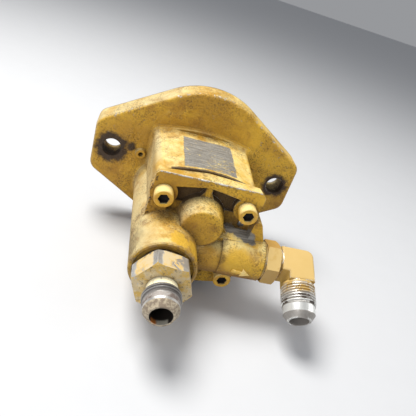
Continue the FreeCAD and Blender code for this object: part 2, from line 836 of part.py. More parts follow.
def portWeb():
    """Web, its sloping roof and a short fin that tie dome, right screw's boss and port boss together."""
    low = portEnd[2] - webFoot
    outer = portEnd[0] - webFoot
    web = prism([
        (webInner, low), (webInner, webTop - 2), (finSide, webTop), (lugSide, webTop - 1),
        (lugSide + lugSpread - 1, webTop - webFall), (outer, webTop - 2 * webFall), (outer, low),
    ], -webReach, -partingDepth)
    fin = prism([
        (finInner, low), (finInner, finTop), (finSide, finTop),
        (finFootSide, finFootHeight), (finFootSide, low),
    ], -finReach, -partingDepth)
    roofProfile = [
        (-webReach + 1, low), (-webRoofReach, low), (-webRoofReach, webRoofTop),
        (-webReach, webTop - webRoofStep), (-webReach + 1, webTop - webRoofStep),
    ]
    corners = [V(webInner, y, z) for y, z in roofProfile + roofProfile[:1]]
    roof = Part.Face(Part.makePolygon(corners)).extrude(V(lugSide - webInner, 0, 0))
    return joined([web, fin, roof])


def frontCover():
    """Cover casting: plate, shaft dome, inlet boss and the slanted outlet boss."""
    bosses = [yCylinder(x, z, plateFront, -partingDepth, screwBossRadius) for x, z in screwPlaces[:3]]
    boss = inletBoss(-inletBossReach, -partingDepth)
    mouth = edgesWhere(boss, lambda e: e.BoundBox.YMax < -inletBossReach + 0.01
                       and e.BoundBox.XLength > 5)
    boss = boss.makeChamfer(inletBossChamfer, mouth)
    casting = joined([coverPlate(), dome(), centreRib(), boss, portBoss(), lug(), portWeb()] + bosses)
    casting = casting.cut(box(-portEnd[0] * 2, portEnd[0] * 2, -partingDepth, 0, -lobeRadius, lobeRadius))
    x = -inletSide
    z = -inletDrop
    portBack = -inletBossReach + inletPortDepth
    cuts = [
        yCylinder(x, z, -inletBossReach - 1, -inletBossReach + inletLipDepth,
                  inletMouthRadius - inletLip),
        yCylinder(x, z, -inletBossReach - 1, portBack, inletPortDia / 2 + threadClearance),
        yCylinder(x, z, portBack - 1, -partingDepth + 1, inletPassageDia / 2),
        yCylinder(0, 0, -partingDepth - bushingLength - 0.6, -partingDepth + 1, bushingSeat),
        yCylinder(0, idlerHeight, -partingDepth - idlerPinIntoCover - endClearance, -partingDepth + 1,
                  idlerPinRadius + seatClearance),
        yCylinder(outletLinkSide, -outletLinkDrop, -partingDepth - 9.5, -partingDepth + 1,
                  outletLinkRadius),
    ]
    cuts.append(yCone(x, z, -inletBossReach + inletLipDepth - 0.01,
                      -inletBossReach + inletLipDepth + ringBevelDepth,
                      inletCollarDia / 2 - 0.1, inletPortDia / 2))
    bore = [
        Part.makeCylinder(portThreadDia / 2 + threadClearance, portThreadDepth,
                          V(0, 0, -portThreadDepth)),
        Part.makeCylinder(portBoreDia / 2, portBoreDepth, V(0, 0, -portBoreDepth)),
        Part.makeCone(portThreadDia / 2, portThreadDia / 2 + portBevel, ringBevelDepth,
                      V(0, 0, -ringBevelDepth)),
    ]
    cuts += [placed(shape, portMatrix()) for shape in bore]
    for sx, sz in screwPlaces:
        cuts.append(yCylinder(sx, sz, plateFront - 1, -partingDepth + 1,
                              screwDia / 2 + screwHoleClearance))
        cuts.append(yCylinder(sx, sz, plateFront - screwCounterboreLength, plateFront,
                              screwHeadDia / 2 + screwCounterboreClearance))
    for sx, sz in dowelPlaces:
        cuts.append(yCylinder(sx, sz, -partingDepth - dowelIntoCover - endClearance,
                              -partingDepth + 1, dowelDia / 2 + dowelClearance))
    return casting.cut(cuts)


def coverScrew(x, z):
    """Socket head cap screw with its hexagon socket."""
    head = yCylinder(x, z, plateFront - screwHeadHeight, plateFront, screwHeadDia / 2)
    rim = edgesWhere(head, lambda e: e.BoundBox.YMax < plateFront - screwHeadHeight + 0.01
                     and e.BoundBox.XLength > 1)
    head = head.makeChamfer(0.6, rim)
    shank = yCylinder(x, z, plateFront - 1, -partingDepth + screwReach, screwDia / 2)
    socket = prism(hexPoints(x, z, screwSocketAcross, 12), plateFront - screwHeadHeight - 1,
                   plateFront - screwHeadHeight + screwSocketDepth)
    return joined([head, shank]).cut(socket)


def coverScrews():
    return Part.makeCompound([coverScrew(x, z) for x, z in screwPlaces])


def dowelPins():
    pins = []
    for x, z in dowelPlaces:
        pin = yCylinder(x, z, -partingDepth - dowelIntoCover, -partingDepth + dowelIntoBody,
                        dowelDia / 2)
        pins.append(pin.makeChamfer(0.4, pin.Edges[0:1] + pin.Edges[2:3]))
    return Part.makeCompound(pins)


def flareEnd(neckDia, neckLength, threadLength):
    """Flared tube end along +Z from z = 0: neck, thread body, nose ring and seat cone."""
    threadEnd = neckLength + threadLength
    ringEnd = threadEnd + flareRingLength
    thread = flareThreadDia / 2
    points = [
        (0, 0), (neckDia / 2, 0), (neckDia / 2, neckLength), (thread, neckLength + flareThreadBevel),
        (thread, threadEnd - flareThreadBevel), (flareRingDia / 2, threadEnd),
        (flareRingDia / 2, ringEnd), (flareTipDia / 2, ringEnd + flareConeLength),
        (0, ringEnd + flareConeLength),
    ]
    ring = [V(r, 0, z) for r, z in points]
    face = Part.Face(Part.makePolygon(ring + ring[:1]))
    return face.revolve(V(0, 0, 0), V(0, 0, 1), 360)


def towardsFront(shape, x, y, z):
    """Turns a shape built along +Z to point along -Y and puts its foot at (x, y, z)."""
    moved = shape.copy()
    turn = FreeCAD.Placement(V(x, y, z), FreeCAD.Rotation(V(1, 0, 0), 90))
    moved.Placement = turn.multiply(moved.Placement)
    return moved


def straightFitting():
    """Straight adapter: port stud, collar, hexagon, neck and flared end, bored right through."""
    x = -inletSide
    z = -inletDrop
    seat = -inletBossReach + inletLipDepth
    hexBack = seat - inletCollarHeight
    hexFront = hexBack - inletHexThickness
    studRadius = inletPortDia / 2
    stud = yCylinder(x, z, seat, -inletBossReach + inletPortDepth - 1, studRadius)
    groove = yCylinder(x, z, seat - 0.01, seat + fittingRingSection * 1.5, studRadius + 1)
    groove = groove.cut(yCylinder(x, z, seat - 1, seat + 4, studRadius - fittingRingSection * 0.6))
    collar = yCylinder(x, z, hexBack, seat, inletCollarDia / 2)
    hexagon = prism(hexPoints(x, z, inletHexAcross, inletHexTurn), hexFront, hexBack)
    corner = inletHexAcross / 2 / math.cos(math.radians(30))
    trim = yCone(x, z, hexFront, hexFront + 40, corner - 1.9, corner - 1.9 + 40 * 1.75)
    back = yCone(x, z, hexBack - 40, hexBack, corner - 1.9 + 40 * 1.75, corner - 1.9)
    hexagon = hexagon.common(trim).common(back)
    flare = towardsFront(flareEnd(inletNeckDia, inletNeckLength, inletThreadLength), x, hexFront, z)
    bore = yCylinder(x, z, hexFront - 2 * flareThreadDia, -inletBossReach + inletPortDepth + 1,
                     flareBoreDia / 2)
    return joined([stud.cut(groove), collar, hexagon, flare]).cut(bore)


def ringProfile(radius, section, along):
    """Eight-sided section of a pressed o-ring at (radius, along)."""
    points = []
    for k in range(8):
        angle = math.radians(22.5 + 45 * k)
        points.append((radius + section / 2 * math.cos(angle), along + section / 2 * math.sin(angle)))
    return points


def studRingRadius(studDia):
    """Middle radius of the o-ring that lies in the groove of a port stud."""
    return studDia / 2 - fittingRingSection * 0.6 + fittingRingSection / 2 + seatClearance


def fittingRing():
    """O-ring in the stud's groove, against the port's bevel."""
    y = -inletBossReach + inletLipDepth + fittingRingSection * 0.75
    return spin(ringProfile(studRingRadius(inletPortDia), fittingRingSection, y), -inletSide, -inletDrop)


def elbowFrame():
    """Outlet direction of the elbow in the port's own axes."""
    drop = math.radians(elbowDrop)
    return V(-math.sin(drop), math.cos(drop), 0)


def elbowBlock(way):
    """Forged L-shaped body of the elbow, from its neck round to the flared end."""
    side = V(0, 0, 1)
    across = way.cross(side)
    half = elbowBlockWidth / 2
    deep = elbowBlockDepth / 2
    centre = V(0, 0, elbowCentre)
    back = nutEnd + elbowNeckLength - elbowCentre
    outline = [(back, -half), (half, -half), (half, elbowFront), (-half, elbowFront), (-half, half),
               (back, half)]
    ring = [centre + side * along + way * out - across * deep for along, out in outline]
    block = Part.Face(Part.makePolygon(ring + ring[:1])).extrude(across * elbowBlockDepth)
    corner = centre + side * half - way * half
    block = block.makeFillet(elbowCornerRound, edgesWhere(
        block, lambda e: (e.CenterOfMass - corner).Length < 0.1))
    return block.makeFillet(elbowEdgeRound, edgesWhere(
        block, lambda e: abs(abs((e.CenterOfMass - centre).dot(across)) - deep) < 0.01))


def elbowFitting():
    """Right-angle fitting: port stud, forged corner block and flared end."""
    way = elbowFrame()
    centre = V(0, 0, elbowCentre)
    studRadius = portThreadDia / 2
    stud = Part.makeCylinder(studRadius, elbowStudLength + nutEnd, V(0, 0, -elbowStudLength))
    relief = Part.makeCylinder(studRadius + 1, 3.0, V(0, 0, -3.2))
    relief = relief.cut(Part.makeCylinder(studRadius - fittingRingSection * 0.6, 3.0, V(0, 0, -3.2)))
    neck = Part.makeCylinder(elbowNeckDia / 2, elbowNeckLength + 1, V(0, 0, nutEnd - 0.5))
    flare = flareEnd(elbowUndercutDia, elbowUndercutLength, elbowThreadLength)
    flare.Placement = FreeCAD.Placement(centre + way * elbowFront, FreeCAD.Rotation(V(0, 0, 1), way))
    bores = [
        Part.makeCylinder(flareBoreDia / 2, elbowStudLength + elbowCentre + flareBoreDia / 2 + 1,
                          V(0, 0, -elbowStudLength - 1)),
        Part.makeCylinder(flareBoreDia / 2, elbowFront + 2 * flareThreadDia, centre, way),
    ]
    solid = joined([stud.cut(relief), neck, elbowBlock(way), flare]).cut(bores)
    return placed(solid, portMatrix())


def lockNut():
    start = washerThickness + faceGap
    corner = nutAcross / 2 / math.cos(math.radians(30))
    ring = []
    for k in range(6):
        angle = math.radians(90 - nutTurn + 30 + 60 * k)
        ring.append(V(corner * math.cos(angle), corner * math.sin(angle), start))
    nut = Part.Face(Part.makePolygon(ring + ring[:1])).extrude(V(0, 0, nutLength))
    slope = 1.75
    flat = corner - nutChamfer
    front = Part.makeCone(flat + 30 * slope, flat, 30, V(0, 0, start + nutLength - 30))
    back = Part.makeCone(flat, flat + 30 * slope, 30, V(0, 0, start))
    hole = Part.makeCylinder(portThreadDia / 2 + threadClearance, nutLength + 2, V(0, 0, start - 1))
    return placed(nut.common(front).common(back).cut(hole), portMatrix())


def backupWasher():
    disc = Part.makeCylinder(washerDia / 2, washerThickness, V(0, 0, faceGap / 2))
    hole = Part.makeCylinder(portThreadDia / 2 + threadClearance, washerThickness + 2, V(0, 0, -1))
    return placed(disc.cut(hole), portMatrix())


def elbowRing():
    ring = spin(ringProfile(studRingRadius(portThreadDia), fittingRingSection, 1.7))
    ring.rotate(V(0, 0, 0), V(1, 0, 0), -90)
    return placed(ring, portMatrix())


def pilotRing():
    radius = pilotDia / 2 + pilotRingProud - pilotRingSection / 2
    return spin(ringProfile(radius, pilotRingSection, pilotGrooveFromFace + pilotGrooveWidth / 2))


def reliefPoppet():
    """Cup-shaped poppet with a cone on its seat side."""
    radius = valveBoreDia / 2 - valveClearance
    seat = -valveSeatDepth - 0.1
    front = seat - poppetLength
    nose = valveSeatDia / 2 - 0.4
    return spin([
        (0, seat), (nose, seat), (nose + 1.2, seat - 1.2), (radius, seat - 1.2), (radius, front),
        (radius - poppetWall, front), (radius - poppetWall, seat - poppetBottom),
        (0, seat - poppetBottom),
    ], -inletSide, -inletDrop)


def reliefPlug():
    """Threaded plug that holds the relief spring, with a hexagon passage through it."""
    y0 = chamberBack + valvePlugFromChamber
    plug = yCylinder(-inletSide, -inletDrop, y0, y0 + valvePlugLength, valvePlugDia / 2)
    hole = prism(hexPoints(-inletSide, -inletDrop, valvePlugSocket, 0), y0 - 1, y0 + valvePlugLength + 1)
    return plug.cut(hole)


def reliefSpring():
    """Compression spring between the plug and the bottom of the poppet's cup."""
    start = chamberBack + valvePlugFromChamber + valvePlugLength + 0.15
    end = -valveSeatDepth - 0.1 - poppetBottom - 0.15
    wire = valveSpringWire / 2
    height = end - start - 2 * wire
    radius = valveBoreDia / 2 - poppetWall - wire - 0.35
    perTurn = 14
    path = []
    for k in range(valveSpringTurns * perTurn + 1):
        angle = math.radians(360 * k / perTurn)
        rise = start + wire + height * k / (valveSpringTurns * perTurn)
        path.append(V(-inletSide + radius * math.cos(angle), rise, -inletDrop + radius * math.sin(angle)))
    section = []
    for k in range(6):
        angle = math.radians(60 * k)
        section.append(path[0] + V(wire * math.cos(angle), wire * math.sin(angle), 0))
    wireOutline = Part.makePolygon(section + section[:1])
    return Part.makePolygon(path).makePipeShell([wireOutline], True, False, 1)


nodes = {
    "pump_body": pumpBody,
    "front_cover": frontCover,
    "cover_seal": lambda: coverSeal(0.0),
    "cover_screws": coverScrews,
    "dowel_pins": dowelPins,
    "drive_shaft": driveShaft,
    "drive_gear": driveGear,
    "gear_key": lambda: keyBlock(0.0),
    "idler_pin": idlerPin,
    "idler_gear": idlerGear,
    "idler_bushing": lambda: bushing(idlerHeight, gearFront, gearWidth, idlerBushingBore),
    "drive_bushing_front": lambda: bushing(0, -partingDepth - bushingLength, bushingLength, bushingBore),
    "drive_bushing_rear": lambda: bushing(0, chamberBack, bushingLength, bushingBore),
    "fuel_seal": lambda: lipSeal(fuelSealBack, -1),
    "oil_seal": lambda: lipSeal(-oilSealFromFace, 1),
    "seal_retaining_ring": retainingRing,
    "pilot_o_ring": pilotRing,
    "straight_fitting": straightFitting,
    "straight_fitting_o_ring": fittingRing,
    "elbow_fitting": elbowFitting,
    "elbow_lock_nut": lockNut,
    "elbow_backup_washer": backupWasher,
    "elbow_o_ring": elbowRing,
    "relief_poppet": reliefPoppet,
    "relief_spring": reliefSpring,
    "relief_plug": reliefPlug,
}

for name, make in nodes.items():
    shape = make()
    shape.exportStep("parts/" + name + ".step")
    print(name, "solids", len(shape.Solids), "valid", shape.isValid(), "volume", round(shape.Volume, 1))
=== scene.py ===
import bpy
import bmesh
import math
from mathutils import Matrix, Vector


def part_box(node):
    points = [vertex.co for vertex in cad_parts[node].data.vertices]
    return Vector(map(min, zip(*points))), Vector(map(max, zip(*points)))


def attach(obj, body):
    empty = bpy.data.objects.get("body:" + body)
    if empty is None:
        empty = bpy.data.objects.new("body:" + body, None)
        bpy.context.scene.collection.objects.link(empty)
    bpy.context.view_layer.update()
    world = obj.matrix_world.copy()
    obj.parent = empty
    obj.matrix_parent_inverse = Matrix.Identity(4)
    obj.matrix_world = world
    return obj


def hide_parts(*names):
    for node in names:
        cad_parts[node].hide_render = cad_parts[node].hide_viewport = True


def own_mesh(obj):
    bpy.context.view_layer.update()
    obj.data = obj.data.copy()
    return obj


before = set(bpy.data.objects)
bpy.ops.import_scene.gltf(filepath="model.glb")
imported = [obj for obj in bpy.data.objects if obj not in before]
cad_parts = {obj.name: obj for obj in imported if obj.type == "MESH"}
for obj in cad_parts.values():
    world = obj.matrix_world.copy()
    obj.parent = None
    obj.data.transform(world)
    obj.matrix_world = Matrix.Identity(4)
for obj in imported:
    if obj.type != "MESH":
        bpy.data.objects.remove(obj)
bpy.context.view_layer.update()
print("frame loaded")

# Shader helpers: most add nodes to the tree of the material that startMaterial made last, and
# return the socket with the result.
# A mask is 1 where its layer shows and 0 elsewhere. In the dictionaries, a pair whose name ends
# in From says where a mask starts and where it is full, and a name that ends in Grain holds a
# noise's scale, detail, roughness and distortion, as far as they are given. Lengths are metres.
building = {"tree": None}
maskForm = {"samples": 6, "streakGrain": (1.0, 5.0, 0.6), "raggedDetail": (5.0, 0.65),
            "edgeGrain": (260.0, 4.0, 0.6), "edgeGain": 2.0, "boreRim": (0.0002, -0.0001)}


def startMaterial(name, roughness=0.5, metallic=0.0):
    mat = bpy.data.materials.new(name)
    mat.use_nodes = True
    building["tree"] = mat.node_tree
    shader = mat.node_tree.nodes["Principled BSDF"]
    shader.inputs["Roughness"].default_value = roughness
    shader.inputs["Metallic"].default_value = metallic
    return mat, shader


def newNode(kind):
    return building["tree"].nodes.new("ShaderNode" + kind)


def feed(socket, value):
    if isinstance(value, bpy.types.NodeSocket):
        building["tree"].links.new(value, socket)
    elif value is not None:
        socket.default_value = value


def coords():
    return newNode("TexCoord").outputs["Object"]


def calc(operation, a, b=None, c=None, clamp=False):
    node = newNode("Math")
    node.operation = operation
    node.use_clamp = clamp
    for socket, value in zip(node.inputs, (a, b, c)):
        feed(socket, value)
    return node.outputs[0]


def times(first, *others):
    product = first
    for other in others:
        product = calc("MULTIPLY", product, other)
    return product


def anyOf(first, *others):
    largest = first
    for other in others:
        largest = calc("MAXIMUM", largest, other)
    return largest


def inverse(value):
    return calc("SUBTRACT", 1.0, value, clamp=True)


def without(a, b):
    # a where b is absent
    return times(a, inverse(b))


def squared(value):
    return calc("POWER", calc("ABSOLUTE", value), 2.0)


def scaled(value, factor, added):
    return calc("MULTIPLY_ADD", value, factor, added)


def noise(vector, scale, detail=4.0, roughness=0.55, distortion=0.0):
    node = newNode("TexNoise")
    feed(node.inputs["Vector"], vector)
    node.inputs["Scale"].default_value = scale
    node.inputs["Detail"].default_value = detail
    node.inputs["Roughness"].default_value = roughness
    node.inputs["Distortion"].default_value = distortion
    return node.outputs["Fac"]


def streaks(vector, scale):
    # fine lines drawn out along the axis whose scale is lowest
    node = newNode("Mapping")
    feed(node.inputs["Vector"], vector)
    node.inputs["Scale"].default_value = scale
    return noise(node.outputs["Vector"], *maskForm["streakGrain"])


def ramp(value, start, full):
    # 0 at start, 1 at full, which may be the lower of the two
    node = newNode("MapRange")
    node.interpolation_type = "SMOOTHSTEP"
    feed(node.inputs["Value"], value)
    node.inputs["From Min"].default_value = start
    node.inputs["From Max"].default_value = full
    return node.outputs["Result"]


def patches(vector, grain, limits):
    return ramp(noise(vector, *grain), *limits)


def between(value, rise, fall):
    # 1 on a stretch that starts over the pair rise and ends over the pair fall
    return times(ramp(value, *rise), ramp(value, *fall))


def blend(factor, a, b):
    node = newNode("Mix")
    node.data_type = "RGBA"
    feed(node.inputs["Factor"], factor)
    feed(node.inputs["A"], a if isinstance(a, bpy.types.NodeSocket) else (*a, 1.0))
    feed(node.inputs["B"], b if isinstance(b, bpy.types.NodeSocket) else (*b, 1.0))
    return node.outputs["Result"]


def blendValue(factor, a, b):
    node = newNode("Mix")
    node.data_type = "FLOAT"
    feed(node.inputs["Factor"], factor)
    feed(node.inputs["A"], a)
    feed(node.inputs["B"], b)
    return node.outputs["Result"]


def split(vector):
    node = newNode("SeparateXYZ")
    feed(node.inputs[0], vector)
    return node.outputs


def along(vector, start, direction):
    # distance of each point from start, measured along direction
    node = newNode("VectorMath")
    node.operation = "DOT_PRODUCT"
    feed(node.inputs[0], vector)
    node.inputs[1].default_value = direction
    return calc("SUBTRACT", node.outputs["Value"], Vector(start).dot(Vector(direction)))


def facing(direction, start, full):
    # 1 on faces that look along direction, 0 on those turned away
    normal = newNode("NewGeometry").outputs["Normal"]
    return ramp(along(normal, (0, 0, 0), direction), start, full)


def grainAbout(vector, scale, amount):
    # noise about zero, which makes a limit ragged
    grain = noise(vector, scale, *maskForm["raggedDetail"])
    return times(calc("SUBTRACT", grain, 0.5), amount)


def spot(vector, centre, radius, soft, ragged, scale):
    # 1 inside a ball about centre, 0 outside, with a ragged rim
    node = newNode("VectorMath")
    node.operation = "DISTANCE"
    feed(node.inputs[0], vector)
    node.inputs[1].default_value = centre
    away = calc("ADD", node.outputs["Value"], grainAbout(vector, scale, ragged))
    return ramp(away, radius + soft, radius - soft)


def boxMask(vector, low, high, soft, ragged, scale):
    # 1 inside the box from low to high, with a ragged rim
    grain = grainAbout(vector, scale, ragged)
    sides = []
    for axis, value in enumerate(split(vector)):
        middle = (low[axis] + high[axis]) / 2
        half = (high[axis] - low[axis]) / 2
        away = calc("ABSOLUTE", calc("SUBTRACT", value, middle))
        away = calc("ADD", away, grain)
        sides.append(ramp(away, half + soft, half - soft))
    return times(*sides)


def spots(vector, places):
    return anyOf(*[spot(vector, *place) for place in places])


def boxes(vector, places):
    return anyOf(*[boxMask(vector, *place) for place in places])


def roundedNormal(radius):
    bevel = newNode("Bevel")
    bevel.samples = maskForm["samples"]
    bevel.inputs["Radius"].default_value = radius
    return bevel.outputs["Normal"]


def finishBump(shader, height, distance, strength, softEdge=0.0):
    node = newNode("Bump")
    node.inputs["Strength"].default_value = strength
    node.inputs["Distance"].default_value = distance
    feed(node.inputs["Height"], height)
    if softEdge:
        feed(node.inputs["Normal"], roundedNormal(softEdge))
    feed(shader.inputs["Normal"], node.outputs["Normal"])


def edgeWear(radius, vector, start, full):
    # 1 along sharp edges, found by comparing the rounded normal with the plain one
    dot = newNode("VectorMath")
    dot.operation = "DOT_PRODUCT"
    feed(dot.inputs[0], roundedNormal(radius))
    feed(dot.inputs[1], newNode("NewGeometry").outputs["Normal"])
    turned = inverse(dot.outputs["Value"])
    grain = times(noise(vector, *maskForm["edgeGrain"]), maskForm["edgeGain"])
    return ramp(times(turned, grain), start, full)


def crevice(distance, start, full):
    # 1 in corners and hollows, 0 in the open, where the node itself gives 1
    node = newNode("AmbientOcclusion")
    node.samples = maskForm["samples"]
    node.inputs["Distance"].default_value = distance
    return ramp(node.outputs["AO"], start, full)


def boreShade(where, base, direction, radius):
    # 1 inside the bore of that radius about the line, 0 outside
    offset = along(where, base, direction)
    fromBase = newNode("VectorMath")
    fromBase.operation = "SUBTRACT"
    feed(fromBase.inputs[0], where)
    fromBase.inputs[1].default_value = base
    length = newNode("VectorMath")
    length.operation = "LENGTH"
    feed(length.inputs[0], fromBase.outputs["Vector"])
    square = calc("SUBTRACT", squared(length.outputs["Value"]), squared(offset))
    away = calc("SQRT", calc("MAXIMUM", square, 0.0))
    outer, inner = maskForm["boreRim"]
    return ramp(away, radius + outer, radius + inner)


castPaint = {
    "ochre": (0.46, 0.248, 0.022),
    "golden": (0.68, 0.405, 0.034),
    "bleachedAndLit": (0.74, 0.59, 0.24),
    "dusty": (0.47, 0.39, 0.22),
    "undersideShade": (0.21, 0.105, 0.022),
    "rusty": (0.24, 0.105, 0.02),
    "fresh": (0.62, 0.37, 0.032),
    "grimeAndShade": (0.050, 0.028, 0.012),
    "bareMetal": (0.150, 0.138, 0.118),
    "brushedMetal": (0.27, 0.255, 0.222),
    "wornMetal": (0.62, 0.60, 0.56),
    "cutFace": (0.42, 0.41, 0.39),
    "oiledFace": (0.30, 0.28, 0.25),
    # which way is up, and which way is left, as the pump lies
    "skyward": (-0.29, 0.0, 0.957),
    "leftward": (-0.93, 0.0, 0.37),
    "bigGrain": (24.0, 5.0, 0.62),
    "midGrain": (120.0, 6.0, 0.62, 0.4),
    "fineGrain": (820.0, 3.0, 0.55),
    "roughGrain": (42.0, 4.0, 0.6, 0.6), "roughFrom": (0.42, 0.60),
    "mottleGrain": (60.0, 7.0, 0.70, 0.9), "mottleFrom": (0.50, 0.70), "mottleShare": 0.56,
    "speckGrain": (390.0, 5.0, 0.6), "speckFrom": (0.66, 0.72), "speckShare": 0.6,
    "goldenFrom": (0.40, 0.62),
    "topFrom": (0.30, 0.98), "bleachAndLightFrom": (0.36, 0.62), "bleachAndLightBig": 0.45,
    "underFrom": (0.05, -0.55), "underShare": 0.8,
    "leftFrom": (0.35, 0.95), "leftPatchFrom": (0.30, 0.55), "dustAndLightShare": 0.75,
    "cornerReach": 0.013, "cornerFrom": (0.86, 0.40), "dirtFrom": (0.26, 0.54), "dirtShare": 0.62,
    "pitFrom": (0.52, 0.36), "pitShareRough": 0.42, "pitShare": 0.10,
    "wearRadius": 0.0009, "wearFrom": (0.10, 0.42), "wearPatchFrom": (0.46, 0.60),
    "brushScale": (70.0, 950.0, 500.0), "brushFrom": (0.38, 0.62),
    "oilFrom": (0.36, 0.66), "flashRust": 0.35,
    "wornShine": 0.6, "cutShine": 0.7, "specular": 0.36,
    "smoothest": 0.40, "roughnessSpread": 0.2, "dirtRoughness": 0.80, "metalRoughness": 0.60,
    "swellGrain": (150.0, 3.0, 0.5), "swellHeight": 2.2,
    "pitHeightRough": 1.2, "pitHeight": 0.7, "metalHeight": -0.35, "cutFlatness": 0.92,
    "relief": 0.00058, "bumpStrength": 1.0, "softEdge": 0.0008,
}


def paintColour(big, mid, side, mottle):
    # ochre and golden patches, paler on top from bleaching and painted light, brown painted shade
    # underneath, paler at the left from dust and painted light, rusty mottles
    paint = castPaint
    golden = ramp(big, *paint["goldenFrom"])
    colour = blend(golden, paint["ochre"], paint["golden"])
    # paler on top: bleached paint together with painted light from above
    top = facing(paint["skyward"], *paint["topFrom"])
    patchy = ramp(blendValue(paint["bleachAndLightBig"], mid, big), *paint["bleachAndLightFrom"])
    colour = blend(times(top, patchy), colour, paint["bleachedAndLit"])
    # browner on faces turned down: painted shade underneath
    under = times(facing(paint["skyward"], *paint["underFrom"]), paint["underShare"])
    colour = blend(under, colour, paint["undersideShade"])
    # paler and greyer at the left: dust together with painted light from that side
    colour = blend(times(side, paint["dustAndLightShare"]), colour, paint["dusty"])
    return blend(times(mottle, paint["mottleShare"]), colour, paint["rusty"])


def speckMask(where, fine, rough):
    # dark specks, and dirt in the pits of the casting
    paint = castPaint
    specks = times(patches(where, paint["speckGrain"], paint["speckFrom"]), paint["speckShare"])
    pits = ramp(fine, *paint["pitFrom"])
    share = scaled(rough, paint["pitShareRough"], paint["pitShare"])
    return anyOf(specks, times(pits, share))


def bareColour(where, edges):
    # brushed metal, brighter along worn edges
    paint = castPaint
    brushed = ramp(streaks(where, paint["brushScale"]), *paint["brushFrom"])
    metal = blend(brushed, paint["bareMetal"], paint["brushedMetal"])
    return blend(edges, metal, paint["wornMetal"])


def cutColour(mid, mottle):
    # a machined face with oil and a little rust
    paint = castPaint
    oil = ramp(mid, *paint["oilFrom"])
    cut = blend(oil, paint["cutFace"], paint["oiledFace"])
    return blend(times(mottle, paint["flashRust"]), cut, paint["rusty"])


def castRelief(where, fine, rough, metalMask, machined):
    # swells and pits of the casting, lower on bare metal and nearly flat where machined
    paint = castPaint
    swell = noise(where, *paint["swellGrain"])
    pits = scaled(rough, paint["pitHeightRough"], paint["pitHeight"])
    height = scaled(swell, paint["swellHeight"], times(fine, pits))
    height = scaled(metalMask, paint["metalHeight"], height)
    return times(height, scaled(machined, -paint["cutFlatness"], 1.0))


def paintLayers(shader, bare, stain, worn, dustAndLight=0.0, fresh=0.0, machined=0.0):
    # old ochre paint over rough casting; the six masks are made by the caller
    paint = castPaint
    where = coords()
    big = noise(where, *paint["bigGrain"])
    mid = noise(where, *paint["midGrain"])
    fine = noise(where, *paint["fineGrain"])
    rough = patches(where, paint["roughGrain"], paint["roughFrom"])
    mottle = patches(where, paint["mottleGrain"], paint["mottleFrom"])
    # faces turned to the left, where dust and painted light make the paint paler
    side = times(facing(paint["leftward"], *paint["leftFrom"]), ramp(big, *paint["leftPatchFrom"]))
    side = anyOf(side, dustAndLight)
    colour = paintColour(big, mid, side, mottle)
    # darker in corners and hollows: grime together with painted shade
    dirt = times(crevice(paint["cornerReach"], *paint["cornerFrom"]),
                 ramp(mid, *paint["dirtFrom"]))
    colour = blend(times(dirt, paint["dirtShare"]), colour, paint["grimeAndShade"])
    colour = blend(speckMask(where, fine, rough), colour, paint["grimeAndShade"])
    colour = blend(fresh, colour, paint["fresh"])
    # real stains together with painted shade and painted shadow, as the callers give them
    colour = blend(stain, colour, paint["grimeAndShade"])
    edges = times(edgeWear(paint["wearRadius"], where, *paint["wearFrom"]),
                  ramp(big, *paint["wearPatchFrom"]))
    edges = anyOf(edges, worn)
    metalMask = anyOf(edges, bare)
    colour = blend(metalMask, colour, bareColour(where, edges))
    colour = blend(machined, colour, cutColour(mid, mottle))
    metalMask = anyOf(metalMask, machined)
    feed(shader.inputs["Base Color"], colour)
    shine = blendValue(machined, times(edges, paint["wornShine"]), paint["cutShine"])
    feed(shader.inputs["Metallic"], shine)
    shader.inputs["Specular IOR Level"].default_value = paint["specular"]
    dull = scaled(mid, paint["roughnessSpread"], paint["smoothest"])
    dull = blendValue(anyOf(dirt, side), dull, paint["dirtRoughness"])
    dull = blendValue(metalMask, dull, paint["metalRoughness"])
    feed(shader.inputs["Roughness"], dull)
    height = castRelief(where, fine, rough, metalMask, machined)
    finishBump(shader, height, paint["relief"], paint["bumpStrength"], paint["softEdge"])


# a box is its lowest corner, highest corner, softness, and the raggedness of its rim with the
# scale of that; a spot is its centre and radius with the same last three
bodyMarks = {
    "pad": ((-0.0172, -0.0705, 0.0250), (0.0172, -0.0278, 0.0300), 0.0003, 0.0026, 300.0),
    "padCorner": ((0.0090, -0.0610, 0.0260), 0.010, 0.004, 0.012, 260.0),
    "fleckScale": (240.0, 1300.0, 500.0), "fleckFrom": (0.53, 0.58),
    "fadeGrain": (240.0, 5.0, 0.7), "fadeFrom": (0.60, 0.68), "fadeShare": 0.7,
    "holes": (
        ((-0.0635, -0.0178, 0.0000), 0.0118, 0.0022, 0.010, 240.0),
        ((0.0635, -0.0178, 0.0000), 0.0098, 0.0020, 0.008, 240.0),
        ((-0.0426, -0.0230, 0.0010), 0.0026, 0.0009, 0.003, 500.0),
        ((-0.0500, -0.0180, 0.0040), 0.0034, 0.0014, 0.006, 300.0),
    ),
    # painted shade on the sliver of the body's front face that shows above the cover
    "gap": ((-0.0250, -0.0745, 0.0225), (0.0330, -0.0722, 0.0290), 0.0004, 0.0024, 300.0),
    "gapShare": 0.9,
    # a painted shadow along the step at the back of the machined pad
    "stepLineShadow": ((-0.0200, -0.0235, 0.0252), (0.0300, -0.0208, 0.0300), 0.0004, 0.0030, 300.0),
    "stepShadowShare": 0.7,
    "flangeEdge": ((-0.080, -0.0173, 0.010), (0.080, -0.0159, 0.060), 0.0002, 0.0012, 300.0),
    "scrapeGrain": (420.0, 5.0, 0.7), "scrapeFrom": (0.50, 0.60),
    "chipGrain": (75.0, 4.0, 0.6, 0.4), "chipFrom": (0.45, 0.51), "chipShare": 0.8,
    # the face and the pilot that mate with the engine are machined and were never painted
    "machinedFrom": (-0.0012, -0.0006),
}


